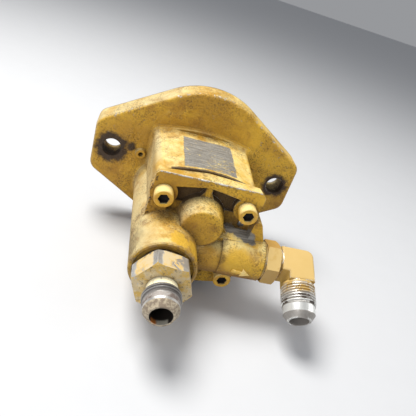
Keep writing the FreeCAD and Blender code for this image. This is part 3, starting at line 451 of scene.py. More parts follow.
def bodyPaint():
    mat, shader = startMaterial("bodyPaint")
    where = coords()
    marks = bodyMarks
    flecks = ramp(streaks(where, marks["fleckScale"]), *marks["fleckFrom"])
    flecks = times(flecks, spot(where, *marks["padCorner"]))
    fade = patches(where, marks["fadeGrain"], marks["fadeFrom"])
    pad = without(boxMask(where, *marks["pad"]), flecks)
    pad = without(pad, times(fade, marks["fadeShare"]))
    scrape = patches(where, marks["scrapeGrain"], marks["scrapeFrom"])
    chips = patches(where, marks["chipGrain"], marks["chipFrom"])
    rim = times(boxMask(where, *marks["flangeEdge"]), scrape, chips, marks["chipShare"])
    gap = times(boxMask(where, *marks["gap"]), marks["gapShare"])
    stepShadow = times(boxMask(where, *marks["stepLineShadow"]), scrape, marks["stepShadowShare"])
    # real stains at the holes, painted shade in the gap and a painted shadow along the step line
    stain = anyOf(spots(where, marks["holes"]), gap, stepShadow)
    machined = ramp(split(where)[1], *marks["machinedFrom"])
    paintLayers(shader, pad, stain, rim, machined=machined)
    return mat


coverMarks = {
    # where the web between the bosses was ground bare
    "ground": (
        ((0.0205, -0.0825, -0.0040), 0.0040, 0.0008, 0.004, 400.0),
        ((0.0265, -0.0845, -0.0048), 0.0042, 0.0008, 0.004, 400.0),
        ((0.0320, -0.0860, -0.0055), 0.0052, 0.0008, 0.004, 400.0),
        ((0.0350, -0.0892, -0.0067), 0.0030, 0.0008, 0.003, 400.0),
    ),
    "crackGrain": (520.0, 5.0, 0.7), "crackFrom": (0.52, 0.57),
    "leftEdge": ((-0.036, -0.0835, -0.010), (-0.0318, -0.0735, 0.024), 0.0006, 0.003, 300.0),
    "bossEnd": ((0.0430, -0.104, -0.020), (0.0480, -0.080, -0.004), 0.0006, 0.003, 300.0),
    "bossEndShare": 0.5,
    # painted shade in the deep pockets under the cover's top rim
    "pockets": (
        ((-0.0222, -0.0812, 0.0052), (-0.0016, -0.0700, 0.0210), 0.0006, 0.0008, 300.0),
        ((0.0016, -0.0812, 0.0052), (0.0215, -0.0700, 0.0210), 0.0006, 0.0008, 300.0),
    ),
    "pocketShadeShare": 0.90,
    "patchGrain": (150.0, 5.0, 0.65), "patchFrom": (0.35, 0.60),
    "seam": ((0.0155, -0.105, -0.040), (0.0190, -0.084, -0.004), 0.0012, 0.006, 160.0),
    "seamShare": 0.55,
    # dirt together with painted shade on the recessed face at the right
    "recess": ((0.010, -0.0815, -0.018), (0.040, -0.0760, 0.016), 0.002, 0.004, 300.0),
    "recessShare": 0.5,
    "bigPatchGrain": (70.0, 5.0, 0.65, 0.6), "bigPatchFrom": (0.38, 0.58),
    "lowLeft": ((-0.044, -0.1150, -0.046), (-0.0330, -0.0780, -0.010), 0.003, 0.012, 90.0),
    "lowLeftShare": 0.50,
    "dome": ((-0.0150, -0.0960, -0.0200), (0.0150, -0.0800, 0.0020), 0.002, 0.008, 120.0),
    "domeShare": 0.30,
    "mouth": ((-0.042, -0.1150, -0.046), (0.004, -0.0850, -0.006), 0.002, 0.010, 90.0),
    "mouthWay": (-0.60, 0.0, 0.80), "mouthFrom": (0.2, 0.8),
    "scrapeGrain": (300.0, 5.0, 0.7), "scrapeFrom": (0.42, 0.54),
    "topEdge": ((-0.0350, -0.0850, 0.0242), (0.0370, -0.0812, 0.0280), 0.0004, 0.0016, 300.0),
    "mouthEdge": ((-0.042, -0.1142, -0.046), (0.004, -0.1128, 0.000), 0.0003, 0.0012, 300.0),
    "mouthEdgeShare": 0.22,
    # where the paint is fresher than around it
    "fresh": (
        ((-0.0130, -0.1075, -0.0010), 0.0066, 0.0008, 0.010, 260.0),
        ((-0.0020, -0.1060, -0.0080), 0.0058, 0.0010, 0.009, 260.0),
        ((0.0280, -0.1000, -0.0170), 0.0085, 0.0020, 0.010, 140.0),
    ),
    "freshShare": 0.8,
}


# cracks, the seam, the dome and the low left get dirt; the pockets hold painted shade, the recess
# dirt and painted shade
def coverStainAndShade(where, patchy):
    marks = coverMarks
    cracks = patches(where, marks["crackGrain"], marks["crackFrom"])
    bossEnd = times(boxMask(where, *marks["bossEnd"]), marks["bossEndShare"])
    cracked = anyOf(boxMask(where, *marks["leftEdge"]), bossEnd)
    bigPatches = patches(where, marks["bigPatchGrain"], marks["bigPatchFrom"])
    return anyOf(
        times(cracks, cracked),
        times(boxes(where, marks["pockets"]), marks["pocketShadeShare"]),
        times(boxMask(where, *marks["seam"]), patchy, marks["seamShare"]),
        times(boxMask(where, *marks["recess"]), patchy, marks["recessShare"]),
        times(boxMask(where, *marks["lowLeft"]), bigPatches, marks["lowLeftShare"]),
        times(boxMask(where, *marks["dome"]), bigPatches, marks["domeShare"]),
    )


def coverPaint():
    mat, shader = startMaterial("coverPaint")
    where = coords()
    marks = coverMarks
    patchy = patches(where, marks["patchGrain"], marks["patchFrom"])
    # dust together with painted light on the inlet mouth's faces turned up and to the left
    upward = facing(marks["mouthWay"], *marks["mouthFrom"])
    dustAndLight = times(boxMask(where, *marks["mouth"]), upward, patchy)
    scrape = patches(where, marks["scrapeGrain"], marks["scrapeFrom"])
    topEdge = times(boxMask(where, *marks["topEdge"]), scrape)
    mouthEdge = times(boxMask(where, *marks["mouthEdge"]), scrape, marks["mouthEdgeShare"])
    fresh = times(spots(where, marks["fresh"]), marks["freshShare"])
    paintLayers(shader, spots(where, marks["ground"]), coverStainAndShade(where, patchy),
                anyOf(topEdge, mouthEdge), dustAndLight=dustAndLight, fresh=fresh)
    return mat


# what both fittings, the nut and the washer share
fitting = {
    "plate": (0.50, 0.48, 0.45), "palePlate": (0.66, 0.65, 0.61), "plateFrom": (0.35, 0.7),
    # root is painted shade for the thread's roots
    "thread": (0.27, 0.26, 0.25), "root": (0.060, 0.048, 0.040),
    "paint": (0.47, 0.285, 0.050), "litPaint": (0.58, 0.405, 0.15),
    "midGrain": (130.0, 6.0, 0.62, 0.5), "fineGrain": (520.0, 4.0, 0.65),
    "rootRadius": 0.0107, "boreRadius": 0.0063,
    "surfaceGrain": (760.0, 3.0, 0.6), "bareShine": 0.8, "specular": 0.42,
    "paintRoughness": 0.55, "bareRoughness": 0.28, "roughnessSpread": 0.2,
    "grainHeight": 0.5, "relief": 0.00016, "bumpStrength": 0.9,
}


def finishFitting(shader, colour, bare, height):
    fine = noise(coords(), *fitting["surfaceGrain"])
    feed(shader.inputs["Base Color"], colour)
    feed(shader.inputs["Metallic"], times(bare, fitting["bareShine"]))
    shader.inputs["Specular IOR Level"].default_value = fitting["specular"]
    polished = scaled(fine, fitting["roughnessSpread"], fitting["bareRoughness"])
    feed(shader.inputs["Roughness"], blendValue(bare, fitting["paintRoughness"], polished))
    height = scaled(fine, fitting["grainHeight"], height)
    finishBump(shader, height, fitting["relief"], fitting["bumpStrength"])


# depth is measured from the mounting face along the inlet's way
inlet = {
    "axis": (-0.0186, 0.0, -0.0222), "way": (0.0, -1.0, 0.0), "ragged": (300.0, 0.0008),
    "stain": (0.17, 0.13, 0.09), "crust": (0.56, 0.44, 0.25), "cream": (0.92, 0.84, 0.58),
    "hexPaint": (0.58, 0.375, 0.085), "hexFrom": (0.1290, 0.1284),
    "neck": ((0.1283, 0.1287), (0.1340, 0.1334)), "neckFrom": (0.30, 0.40),
    "thread": ((0.1334, 0.1340), (0.1406, 0.1400)), "threadShare": 0.8, "rootShadeShare": 0.6,
    "ring": ((0.1400, 0.1406), (0.1440, 0.1434)),
    "ringDark": (0.15, 0.115, 0.095), "ringMid": (0.34, 0.30, 0.27), "ringFrom": (0.40, 0.60),
    "ringPale": (0.38, 0.36, 0.33), "ringPaleFrom": (0.52, 0.66),
    "coneFrom": (0.1450, 0.1454), "conePatchFrom": (0.24, 0.40), "coneCover": 0.85,
    "coneDark": (0.22, 0.17, 0.12), "conePale": (0.44, 0.37, 0.26), "coneToneFrom": (0.42, 0.60),
    # degrees of one corner of the hexagon, and from a corner to the middle of a side
    "hexTurn": 51.0, "hexHalf": 30.0,
    "cornerGrain": (240.0, 0.30), "cornerFrom": (0.20, 0.12),
    "wearRadius": 0.0008, "wearFrom": (0.05, 0.20),
    "frontFrom": (0.35, 0.75), "upperFrom": (-0.05, 0.30),
    "paintFrom": (0.40, 0.50), "paintToneFrom": (0.46, 0.56),
    "crustFrom": (0.28, 0.42), "crustToneFrom": (0.42, 0.56),
    "crustSpotFrom": (0.56, 0.64), "crustSpotShare": 0.8,
    "hollowReach": 0.005, "hollowFrom": (0.80, 0.35), "hollowPatchFrom": (0.2, 0.5),
    "hollowShare": 0.75,
    "lipDepthFrom": (0.1452, 0.1468), "lipHeightFrom": (-0.0258, -0.0268),
    "lipSplitFrom": (-0.0208, -0.0190), "lipGrain": (400.0, 0.003),
    "lipRust": (0.42, 0.14, 0.025), "lipCream": (0.40, 0.37, 0.30), "boreShadow": (0.016, 0.012, 0.009),
    "crustHeight": 3.0, "paintHeight": 0.5,
}


def hexWear(where):
    # bare metal along the hexagon's corners and its other sharp edges
    x, _, z = split(where)
    turn = calc("ARCTAN2", calc("SUBTRACT", z, inlet["axis"][2]),
                calc("SUBTRACT", x, inlet["axis"][0]))
    turn = calc("SUBTRACT", turn, math.radians(inlet["hexTurn"]))
    corner = calc("PINGPONG", turn, math.radians(inlet["hexHalf"]))
    corner = calc("ADD", corner, grainAbout(where, *inlet["cornerGrain"]))
    return anyOf(edgeWear(inlet["wearRadius"], where, *inlet["wearFrom"]),
                 ramp(corner, *inlet["cornerFrom"]))


def inletMasks(where, depth, mid, fine):
    hexPart = ramp(depth, *inlet["hexFrom"])
    upper = without(facing(castPaint["skyward"], *inlet["upperFrom"]),
                    facing(inlet["way"], *inlet["frontFrom"]))
    flaked = times(hexPart, upper, ramp(mid, *inlet["paintFrom"]))
    thread = between(depth, *inlet["thread"])
    rootBore = boreShade(where, inlet["axis"], inlet["way"], fitting["rootRadius"])
    return {
        "paint": without(flaked, hexWear(where)),
        "crust": times(without(hexPart, upper),
                       ramp(fine, *inlet["crustFrom"])),
        "neck": times(between(depth, *inlet["neck"]),
                      ramp(mid, *inlet["neckFrom"])),
        "hollow": times(crevice(inlet["hollowReach"], *inlet["hollowFrom"]),
                        ramp(mid, *inlet["hollowPatchFrom"])),
        "bore": boreShade(where, inlet["axis"], inlet["way"], fitting["boreRadius"]),
        "thread": thread,
        "roots": times(thread, rootBore),
        "ring": between(depth, *inlet["ring"]),
        "cone": ramp(depth, *inlet["coneFrom"]),
    }


def inletEnd(mid, fine, masks, colour):
    # thread, ring and cone of the flared end
    threadAt = times(masks["thread"], inlet["threadShare"])
    colour = blend(threadAt, colour, fitting["thread"])
    # painted shade in the thread's roots
    rootsAt = times(masks["roots"], inlet["rootShadeShare"])
    colour = blend(rootsAt, colour, fitting["root"])
    dirt = blend(ramp(mid, *inlet["ringFrom"]), inlet["ringDark"], inlet["ringMid"])
    dirt = blend(ramp(fine, *inlet["ringPaleFrom"]), dirt, inlet["ringPale"])
    colour = blend(masks["ring"], colour, dirt)
    tone = blend(ramp(fine, *inlet["coneToneFrom"]), inlet["coneDark"], inlet["conePale"])
    coneAt = times(masks["cone"], ramp(mid, *inlet["conePatchFrom"]))
    return blend(coneAt, colour, tone)


def inletHexagon(mid, fine, masks, colour):
    # flaked paint on the hexagon's upper faces, a crust of old paint and dirt on the others
    tone = blend(ramp(mid, *inlet["paintToneFrom"]), inlet["hexPaint"], inlet["crust"])
    colour = blend(masks["paint"], colour, tone)
    tone = blend(ramp(mid, *inlet["crustToneFrom"]), inlet["crust"], inlet["hexPaint"])
    spotted = times(ramp(fine, *inlet["crustSpotFrom"]), inlet["crustSpotShare"])
    tone = blend(spotted, tone, inlet["stain"])
    colour = blend(masks["crust"], colour, tone)
    return blend(masks["neck"], colour, inlet["cream"])


def inletMouth(where, depth):
    # painted shade inside the bore, with rust and old paint on the lower part of the lip
    x, _, z = split(where)
    across = calc("ADD", x, grainAbout(where, *inlet["lipGrain"]))
    lip = blend(ramp(across, *inlet["lipSplitFrom"]), inlet["lipRust"], inlet["lipCream"])
    lipAt = times(ramp(depth, *inlet["lipDepthFrom"]), ramp(z, *inlet["lipHeightFrom"]))
    return blend(lipAt, inlet["boreShadow"], lip)


def inletSteel():
    mat, shader = startMaterial("inletSteel")
    where = coords()
    mid = noise(where, *fitting["midGrain"])
    fine = noise(where, *fitting["fineGrain"])
    depth = calc("ADD", times(split(where)[1], -1.0), grainAbout(where, *inlet["ragged"]))
    masks = inletMasks(where, depth, mid, fine)
    colour = blend(ramp(mid, *fitting["plateFrom"]), fitting["plate"], fitting["palePlate"])
    colour = inletEnd(mid, fine, masks, colour)
    colour = inletHexagon(mid, fine, masks, colour)
    # darker in the hollows: grime together with painted shade
    hollowAt = times(masks["hollow"], inlet["hollowShare"])
    colour = blend(hollowAt, colour, castPaint["grimeAndShade"])
    colour = blend(masks["bore"], colour, inletMouth(where, depth))
    covered = anyOf(masks["paint"], masks["crust"], masks["neck"], masks["hollow"],
                    masks["bore"], masks["roots"], times(masks["cone"], inlet["coneCover"]),
                    masks["ring"])
    height = scaled(times(masks["crust"], mid), inlet["crustHeight"],
                    times(masks["paint"], inlet["paintHeight"]))
    finishFitting(shader, colour, inverse(covered), height)
    return mat


# depth is measured from the elbow's corner along its flared end
elbow = {
    "centre": (0.07175, -0.08956, -0.01913), "way": (-0.02649, -0.92759, -0.37266),
    "ragged": (200.0, 0.0012), "paintFrom": (0.0226, 0.0218),
    "thread": ((0.0236, 0.0242), (0.0298, 0.0290)), "rootShadeShare": 0.85,
    "oilyFrom": (0.0250, 0.0262), "oilySpread": 0.55, "oilyLeast": 0.25, "oilyCover": 0.6,
    "ring": ((0.0292, 0.0298), (0.0348, 0.0342)), "ringPlate": (0.86, 0.86, 0.82),
    "noseFrom": (0.0342, 0.0348), "noseDark": (0.20, 0.18, 0.16), "nosePale": (0.42, 0.40, 0.37),
    "noseCover": 0.3,
    "wearRadius": 0.0014, "wearFrom": (0.012, 0.05), "wearPatchFrom": (0.47, 0.50),
    "chip": (0.86, 0.87, 0.84),
    "shadeFrom": (-0.10, 0.75), "shadeShare": 0.7, "grainShare": 0.3,
    "underFrom": (0.0, -0.5), "underShare": 0.7, "underShadePaint": (0.40, 0.24, 0.06),
    "cornerReach": 0.005, "cornerFrom": (0.75, 0.35), "cornerPatchFrom": (0.25, 0.55),
    "cornerShare": 0.7, "cornerDirtAndShade": (0.16, 0.085, 0.025),
    "boreFrom": (0.0200, 0.0210), "innerFrom": (0.0345, 0.0310),
    "innerPale": (0.24, 0.22, 0.20), "innerShadow": (0.012, 0.010, 0.009),
    "paintHeight": 0.5,
}


def elbowMasks(where, depth, ragged, mid):
    line = (elbow["centre"], elbow["way"])
    thread = between(depth, *elbow["thread"])
    oily = scaled(ramp(ragged, *elbow["oilyFrom"]), elbow["oilySpread"], elbow["oilyLeast"])
    worn = times(edgeWear(elbow["wearRadius"], where, *elbow["wearFrom"]),
                 ramp(mid, *elbow["wearPatchFrom"]))
    return {
        "worn": worn,
        "paint": without(ramp(ragged, *elbow["paintFrom"]), worn),
        "oily": times(thread, oily),
        "roots": times(thread, boreShade(where, *line, fitting["rootRadius"])),
        "ring": between(depth, *elbow["ring"]),
        "nose": ramp(depth, *elbow["noseFrom"]),
        "corner": times(crevice(elbow["cornerReach"], *elbow["cornerFrom"]),
                        ramp(mid, *elbow["cornerPatchFrom"])),
        "bore": times(boreShade(where, *line, fitting["boreRadius"]),
                      ramp(depth, *elbow["boreFrom"])),
    }


def elbowEnd(mid, fine, masks):
    # plated steel with the bright ring, the nose and the oily thread
    colour = blend(ramp(mid, *fitting["plateFrom"]), fitting["plate"], fitting["palePlate"])
    colour = blend(masks["ring"], colour, elbow["ringPlate"])
    nose = blend(fine, elbow["noseDark"], elbow["nosePale"])
    colour = blend(masks["nose"], colour, nose)
    colour = blend(masks["oily"], colour, fitting["thread"])
    # painted shade in the thread's roots
    rootsAt = times(masks["roots"], elbow["rootShadeShare"])
    return blend(rootsAt, colour, fitting["root"])


def elbowForging(mid, masks, colour):
    # paint with painted light on top and brown painted shade underneath, with bright chips on the
    # edges
    shade = facing(castPaint["skyward"], *elbow["shadeFrom"])
    shade = scaled(mid, elbow["grainShare"], times(shade, elbow["shadeShare"]))
    paint = blend(shade, fitting["paint"], fitting["litPaint"])
    chipped = blend(masks["worn"], colour, elbow["chip"])
    colour = blend(masks["paint"], chipped, paint)
    under = times(facing(castPaint["skyward"], *elbow["underFrom"]), masks["paint"],
                  elbow["underShare"])
    return blend(under, colour, elbow["underShadePaint"])


def elbowSteel():
    mat, shader = startMaterial("elbowSteel")
    where = coords()
    mid = noise(where, *fitting["midGrain"])
    fine = noise(where, *fitting["fineGrain"])
    depth = along(where, elbow["centre"], elbow["way"])
    ragged = calc("ADD", depth, grainAbout(where, *elbow["ragged"]))
    masks = elbowMasks(where, depth, ragged, mid)
    colour = elbowForging(mid, masks, elbowEnd(mid, fine, masks))
    # darker in the corners: dirt together with painted shade
    cornerAt = times(masks["corner"], elbow["cornerShare"])
    colour = blend(cornerAt, colour, elbow["cornerDirtAndShade"])
    # painted shade inside the bore, darker further in
    inner = blend(ramp(depth, *elbow["innerFrom"]), elbow["innerPale"], elbow["innerShadow"])
    colour = blend(masks["bore"], colour, inner)
    covered = anyOf(masks["paint"], masks["corner"], masks["bore"], masks["roots"],
                    times(masks["nose"], elbow["noseCover"]),
                    times(masks["oily"], elbow["oilyCover"]))
    finishFitting(shader, colour, inverse(covered), times(masks["paint"], elbow["paintHeight"]))
    return mat


nut = {
    "midGrain": (150.0, 6.0, 0.62, 0.5),
    "wearRadius": 0.0008, "wearFrom": (0.10, 0.34), "wearPatchFrom": (0.46, 0.58),
    "speckFrom": (0.70, 0.72), "bareSoft": 0.05,
    "lightWay": (-0.29, -0.75, 0.60), "lightFrom": (0.1, 0.95), "shaded": (0.42, 0.22, 0.03),
    "ochreFrom": (0.50, 0.65), "ochreShare": 0.5,
    "underFrom": (0.0, -0.5), "underShare": 0.8, "underShadePaint": (0.22, 0.12, 0.03),
    "chip": (0.70, 0.70, 0.67), "chipHeight": -0.5,
    "cornerReach": 0.004, "cornerFrom": (0.80, 0.35), "cornerPatchFrom": (0.2, 0.5),
    "cornerShare": 0.85,
}


def nutPaint(name, bareAmount):
    mat, shader = startMaterial(name)
    where = coords()
    mid = noise(where, *nut["midGrain"])
    fine = noise(where, *fitting["fineGrain"])
    bareStart = 1.0 - bareAmount
    chips = anyOf(
        times(edgeWear(nut["wearRadius"], where, *nut["wearFrom"]),
              ramp(mid, *nut["wearPatchFrom"])),
        ramp(fine, *nut["speckFrom"]),
        ramp(mid, bareStart, bareStart + nut["bareSoft"]),
    )
    # lit and shaded copies of the paint: painted light on faces turned to the lamp
    light = facing(nut["lightWay"], *nut["lightFrom"])
    paint = blend(light, nut["shaded"], fitting["litPaint"])
    ochre = times(ramp(mid, *nut["ochreFrom"]), nut["ochreShare"])
    paint = blend(ochre, paint, fitting["paint"])
    # painted shade in brown underneath
    under = times(facing(castPaint["skyward"], *nut["underFrom"]), nut["underShare"])
    paint = blend(under, paint, nut["underShadePaint"])
    colour = blend(chips, paint, nut["chip"])
    # darker in the corners: grime together with painted shade
    corner = times(crevice(nut["cornerReach"], *nut["cornerFrom"]),
                   ramp(mid, *nut["cornerPatchFrom"]))
    cornerAt = times(corner, nut["cornerShare"])
    colour = blend(cornerAt, colour, castPaint["grimeAndShade"])
    finishFitting(shader, colour, without(chips, corner), times(chips, nut["chipHeight"]))
    return mat


screw = {
    "ochre": (0.54, 0.29, 0.035), "bleachedAndLit": (0.78, 0.62, 0.26), "socket": (0.014, 0.010, 0.008),
    # x and z of the four screws
    "places": ((-0.0265, 0.0110), (0.0265, 0.0110), (0.0265, -0.0423), (-0.0276, -0.0490)),
    "socketRadius": 0.0040, "socketSoft": 0.0001, "socketDepthFrom": (0.0004, 0.0016),
    "midGrain": (320.0, 5.0, 0.6), "fineGrain": (900.0, 3.0, 0.6),
    "goldenFrom": (0.35, 0.65), "topFrom": (0.1, 0.9), "rustFrom": (0.55, 0.70), "rustShare": 0.4,
    "cornerReach": 0.004, "cornerFrom": (0.80, 0.35), "cornerPatchFrom": (0.25, 0.55),
    "cornerShare": 0.8, "roughness": 0.42, "socketRoughness": 0.9,
    "fineHeight": 0.4, "relief": 0.00018, "bumpStrength": 0.9, "softEdge": 0.0005,
}


def socketMask(where):
    # the insides of the sockets, behind the fronts of the heads
    x, y, z = split(where)
    radius, soft = screw["socketRadius"], screw["socketSoft"]
    sockets = []
    for placeX, placeZ in screw["places"]:
        away = calc("ADD", squared(calc("SUBTRACT", x, placeX)),
                    squared(calc("SUBTRACT", z, placeZ)))
        sockets.append(ramp(calc("SQRT", away), radius + soft, radius - soft))
    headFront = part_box("cover_screws")[0][1]
    start, full = screw["socketDepthFrom"]
    deep = ramp(y, headFront + start, headFront + full)
    return times(anyOf(*sockets), deep)


def screwPaint():
    mat, shader = startMaterial("screwPaint")
    where = coords()
    mid = noise(where, *screw["midGrain"])
    fine = noise(where, *screw["fineGrain"])
    colour = blend(ramp(mid, *screw["goldenFrom"]), screw["ochre"], castPaint["golden"])
    # paler on top: bleached paint together with painted light from above
    top = facing(castPaint["skyward"], *screw["topFrom"])
    colour = blend(top, colour, screw["bleachedAndLit"])
    rust = times(ramp(fine, *screw["rustFrom"]), screw["rustShare"])
    colour = blend(rust, colour, castPaint["rusty"])
    # darker in the corners: grime together with painted shade
    dirt = times(crevice(screw["cornerReach"], *screw["cornerFrom"]),
                 ramp(mid, *screw["cornerPatchFrom"]), screw["cornerShare"])
    colour = blend(dirt, colour, castPaint["grimeAndShade"])
    inside = socketMask(where)
    # near black in the sockets: painted shade together with dirt
    feed(shader.inputs["Base Color"], blend(inside, colour, screw["socket"]))
    feed(shader.inputs["Roughness"],
         blendValue(inside, screw["roughness"], screw["socketRoughness"]))
    height = scaled(fine, screw["fineHeight"], mid)
    finishBump(shader, height, screw["relief"], screw["bumpStrength"], screw["softEdge"])
    return mat


metal = {
    "steel": (0.55, 0.55, 0.56), "steelRoughness": 0.32,
    "bronze": (0.62, 0.42, 0.20), "bronzeRoughness": 0.4,
    "grain": (260.0, 5.0, 0.6), "fineGrain": (1040.0, 3.0, 0.5), "paleFrom": (0.3, 0.75),
    "darkShare": 0.62, "roughnessSpread": 0.2, "relief": 0.00004, "bumpStrength": 0.5,
}


def plainMetal(name, colour, roughness):
    mat, shader = startMaterial(name, roughness, 1.0)
    where = coords()
    grain = noise(where, *metal["grain"])
    darker = tuple(c * metal["darkShare"] for c in colour)
    tone = blend(ramp(grain, *metal["paleFrom"]), darker, colour)
    feed(shader.inputs["Base Color"], tone)
    spread = metal["roughnessSpread"]
    feed(shader.inputs["Roughness"], scaled(grain, spread, roughness - spread / 2))
    fine = noise(where, *metal["fineGrain"])
    finishBump(shader, fine, metal["relief"], metal["bumpStrength"])
    return mat


rubberFinish = {
    "black": (0.018, 0.018, 0.019), "dusty": (0.0424, 0.0424, 0.0442),
    "grain": (500.0, 4.0, 0.6), "smoothest": 0.55, "roughnessSpread": 0.2,
    "relief": 0.00005, "bumpStrength": 0.6,
}


def rubber():
    mat, shader = startMaterial("blackRubber")
    finish = rubberFinish
    grain = noise(coords(), *finish["grain"])
    colour = blend(grain, finish["black"], finish["dusty"])
    feed(shader.inputs["Base Color"], colour)
    dull = scaled(grain, finish["roughnessSpread"], finish["smoothest"])
    feed(shader.inputs["Roughness"], dull)
    finishBump(shader, grain, finish["relief"], finish["bumpStrength"])
    return mat


def dress(mat, *nodes):
    for node in nodes:
        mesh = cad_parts[node].data
        mesh.materials.clear()
        mesh.materials.append(mat)


inletMat = inletSteel()
outletMat = elbowSteel()
groundSteel = plainMetal("groundSteel", metal["steel"], metal["steelRoughness"])
bronze = plainMetal("bushingBronze", metal["bronze"], metal["bronzeRoughness"])
dress(bodyPaint(), "pump_body")
dress(coverPaint(), "front_cover")
dress(screwPaint(), "cover_screws")
dress(inletMat, "straight_fitting")
dress(outletMat, "elbow_fitting")
dress(nutPaint("nutPaint", 0.0), "elbow_lock_nut")
dress(nutPaint("washerPaint", 0.4), "elbow_backup_washer")
dress(groundSteel, "drive_shaft", "drive_gear", "gear_key", "idler_pin", "idler_gear",
      "dowel_pins", "seal_retaining_ring", "relief_poppet", "relief_plug")
dress(bronze, "idler_bushing", "drive_bushing_front", "drive_bushing_rear")
dress(rubber(), "cover_seal", "fuel_seal", "oil_seal", "pilot_o_ring",
      "straight_fitting_o_ring", "elbow_o_ring")
print("materials on the CAD nodes")

# base is where the thread starts; crest and root are radii, and the next four are in pitches
inletThread = {"node": "straight_fitting", "piece": "inletFitting",
               "base": (-0.0186, -0.1337, -0.0222), "axis": (0.0, -1.0, 0.0), "length": 0.0066}
elbowThread = {"node": "elbow_fitting", "piece": "outletElbow",
               "base": (0.071366, -0.103010, -0.024534), "axis": (-0.02649, -0.92759, -0.37266),
               "length": 0.0152}
form = {"crest": 0.01111, "root": 0.01008,
        "endGap": 0.46, "rootHalf": 0.47, "crestHalf": 0.10, "fade": (0.1, 0.5),
        "pitch": 0.001814, "stepsPerTurn": 56, "sunk": 0.0004,
        "endSlack": 0.0002, "radiusSlack": 0.00003, "smoothBelow": 20}


def mergedCopy(node, joinWithin=1e-6):
    # the node's own skin with its loose triangles joined, ready to be reshaped
    bm = bmesh.new()
    bm.from_mesh(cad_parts[node].data)
    bmesh.ops.remove_doubles(bm, verts=bm.verts[:], dist=joinWithin)
    return bm


def addPiece(bm, name, mat, smoothBelow):
    # edges that turn by more than smoothBelow degrees stay sharp
    mesh = bpy.data.meshes.new(name)
    bm.to_mesh(mesh)
    bm.free()
    piece = bpy.data.objects.new(name, mesh)
    bpy.context.scene.collection.objects.link(piece)
    mesh.materials.clear()
    mesh.materials.append(mat)
    for face in mesh.polygons:
        face.material_index = 0
    mesh.shade_smooth()
    mesh.set_sharp_from_angle(angle=math.radians(smoothBelow))
    return piece


def cutRoots(bm, thread):
    # the plain cylinder goes down to the bottom of the thread
    slack = form["endSlack"]
    base = Vector(thread["base"])
    axis = Vector(thread["axis"]).normalized()
    moved = 0
    for vert in bm.verts:
        up = (vert.co - base).dot(axis)
        out = vert.co - base - axis * up
        onCrest = abs(out.length - form["crest"]) < form["radiusSlack"]
        if -slack < up < thread["length"] + slack and onCrest:
            vert.co -= out.normalized() * (form["crest"] - form["root"])
            moved += 1
    print(thread["piece"], "thread vertices moved", moved)


def linkedVerts(start):
    linked = set(start)
    edge = list(start)
    while edge:
        grown = {e.other_vert(v) for v in edge for e in v.link_edges} - linked
        linked |= grown
        edge = list(grown)
    return linked


def windRidge(bm, thread):
    # the thread's ridge, spun round the axis and sunk into the core at both ends
    base = Vector(thread["base"])
    axis = Vector(thread["axis"]).normalized()
    side = axis.orthogonal().normalized()
    pitch, crest = form["pitch"], form["crest"]
    first = form["endGap"] * pitch
    last = thread["length"] - form["endGap"] * pitch
    turns = (last - first) / pitch
    steps = int(turns * form["stepsPerTurn"])
    inside = form["root"] - form["sunk"]
    corners = ((inside, -form["rootHalf"]), (crest, -form["crestHalf"]),
               (crest, form["crestHalf"]), (inside, form["rootHalf"]))
    profile = [bm.verts.new(base + side * reach + axis * (first + rise * pitch))
               for reach, rise in corners]
    startCap = bm.faces.new(profile)
    spun = bmesh.ops.spin(bm, geom=[*profile, *startCap.edges], cent=base, axis=axis,
                          dvec=axis * (last - first) / steps, angle=turns * math.tau, steps=steps)
    endVerts = [item for item in spun["geom_last"] if isinstance(item, bmesh.types.BMVert)]
    bmesh.ops.contextual_create(bm, geom=endVerts)
    ridge = linkedVerts(profile)
    early, span = (part * pitch for part in form["fade"])
    for vert in ridge:
        up = (vert.co - base).dot(axis)
        out = vert.co - base - axis * up
        fade = min(1.0, max(0.0, (up - first + early) / span),
                   max(0.0, (last - up + early) / span))
        if out.length > form["root"]:
            wanted = inside + (crest - inside) * fade
            vert.co += out.normalized() * (wanted - out.length)
    ridgeFaces = {face for vert in ridge for face in vert.link_faces}
    bmesh.ops.recalc_face_normals(bm, faces=list(ridgeFaces))


def threadedFitting(thread, mat):
    bm = mergedCopy(thread["node"])
    cutRoots(bm, thread)
    windRidge(bm, thread)
    piece = addPiece(bm, thread["piece"], mat, form["smoothBelow"])
    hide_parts(thread["node"])
    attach(piece, "housing")


threadedFitting(inletThread, inletMat)
threadedFitting(elbowThread, outletMat)
print("threads on both fittings")

# the relief valve's spring, copied from its CAD node; in the pump the poppet's lift presses it
# together against its plug
coil = {"joint": "relief_lift", "axis": (0.0, 1.0, 0.0),
        "anchor": (-0.0186, -0.0498, -0.0222), "length": 0.0150, "lift": 0.0030,
        "smoothBelow": 40}


def makeReliefCoil():
    piece = addPiece(mergedCopy("relief_spring"), "reliefCoil", groundSteel, coil["smoothBelow"])
    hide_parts("relief_spring")
    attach(piece, "housing")
    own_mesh(piece)


makeReliefCoil()
print("spring of the relief valve")

# the cast arrow on the outlet boss shows which way fuel leaves; tail and tip are metres along
# the boss's axis from its end, and degrees about it
arrow = {"bossEnd": (0.0462, -0.0884, -0.0202), "axis": (0.9981, -0.0453, 0.0419),
         "bossRadius": 0.0138, "tail": (-0.0202, -5.5), "tip": (-0.0082, -12.5),
         "shaftHalf": 0.00115, "headHalf": 0.0033, "headLength": 0.0056,
         "sunk": 0.0006, "proud": 0.0009, "rimBevel": 0.00035, "smoothBelow": 40,
         "grain": (320.0, 5.0, 0.62), "rubbed": (0.80, 0.60, 0.22), "rubbedFrom": (0.34, 0.56),
         "dirtReach": 0.0012, "dirtFrom": (0.80, 0.45), "dirtShare": 0.6,
         "smoothest": 0.35, "roughnessSpread": 0.3, "relief": 0.00016, "bumpStrength": 0.8}


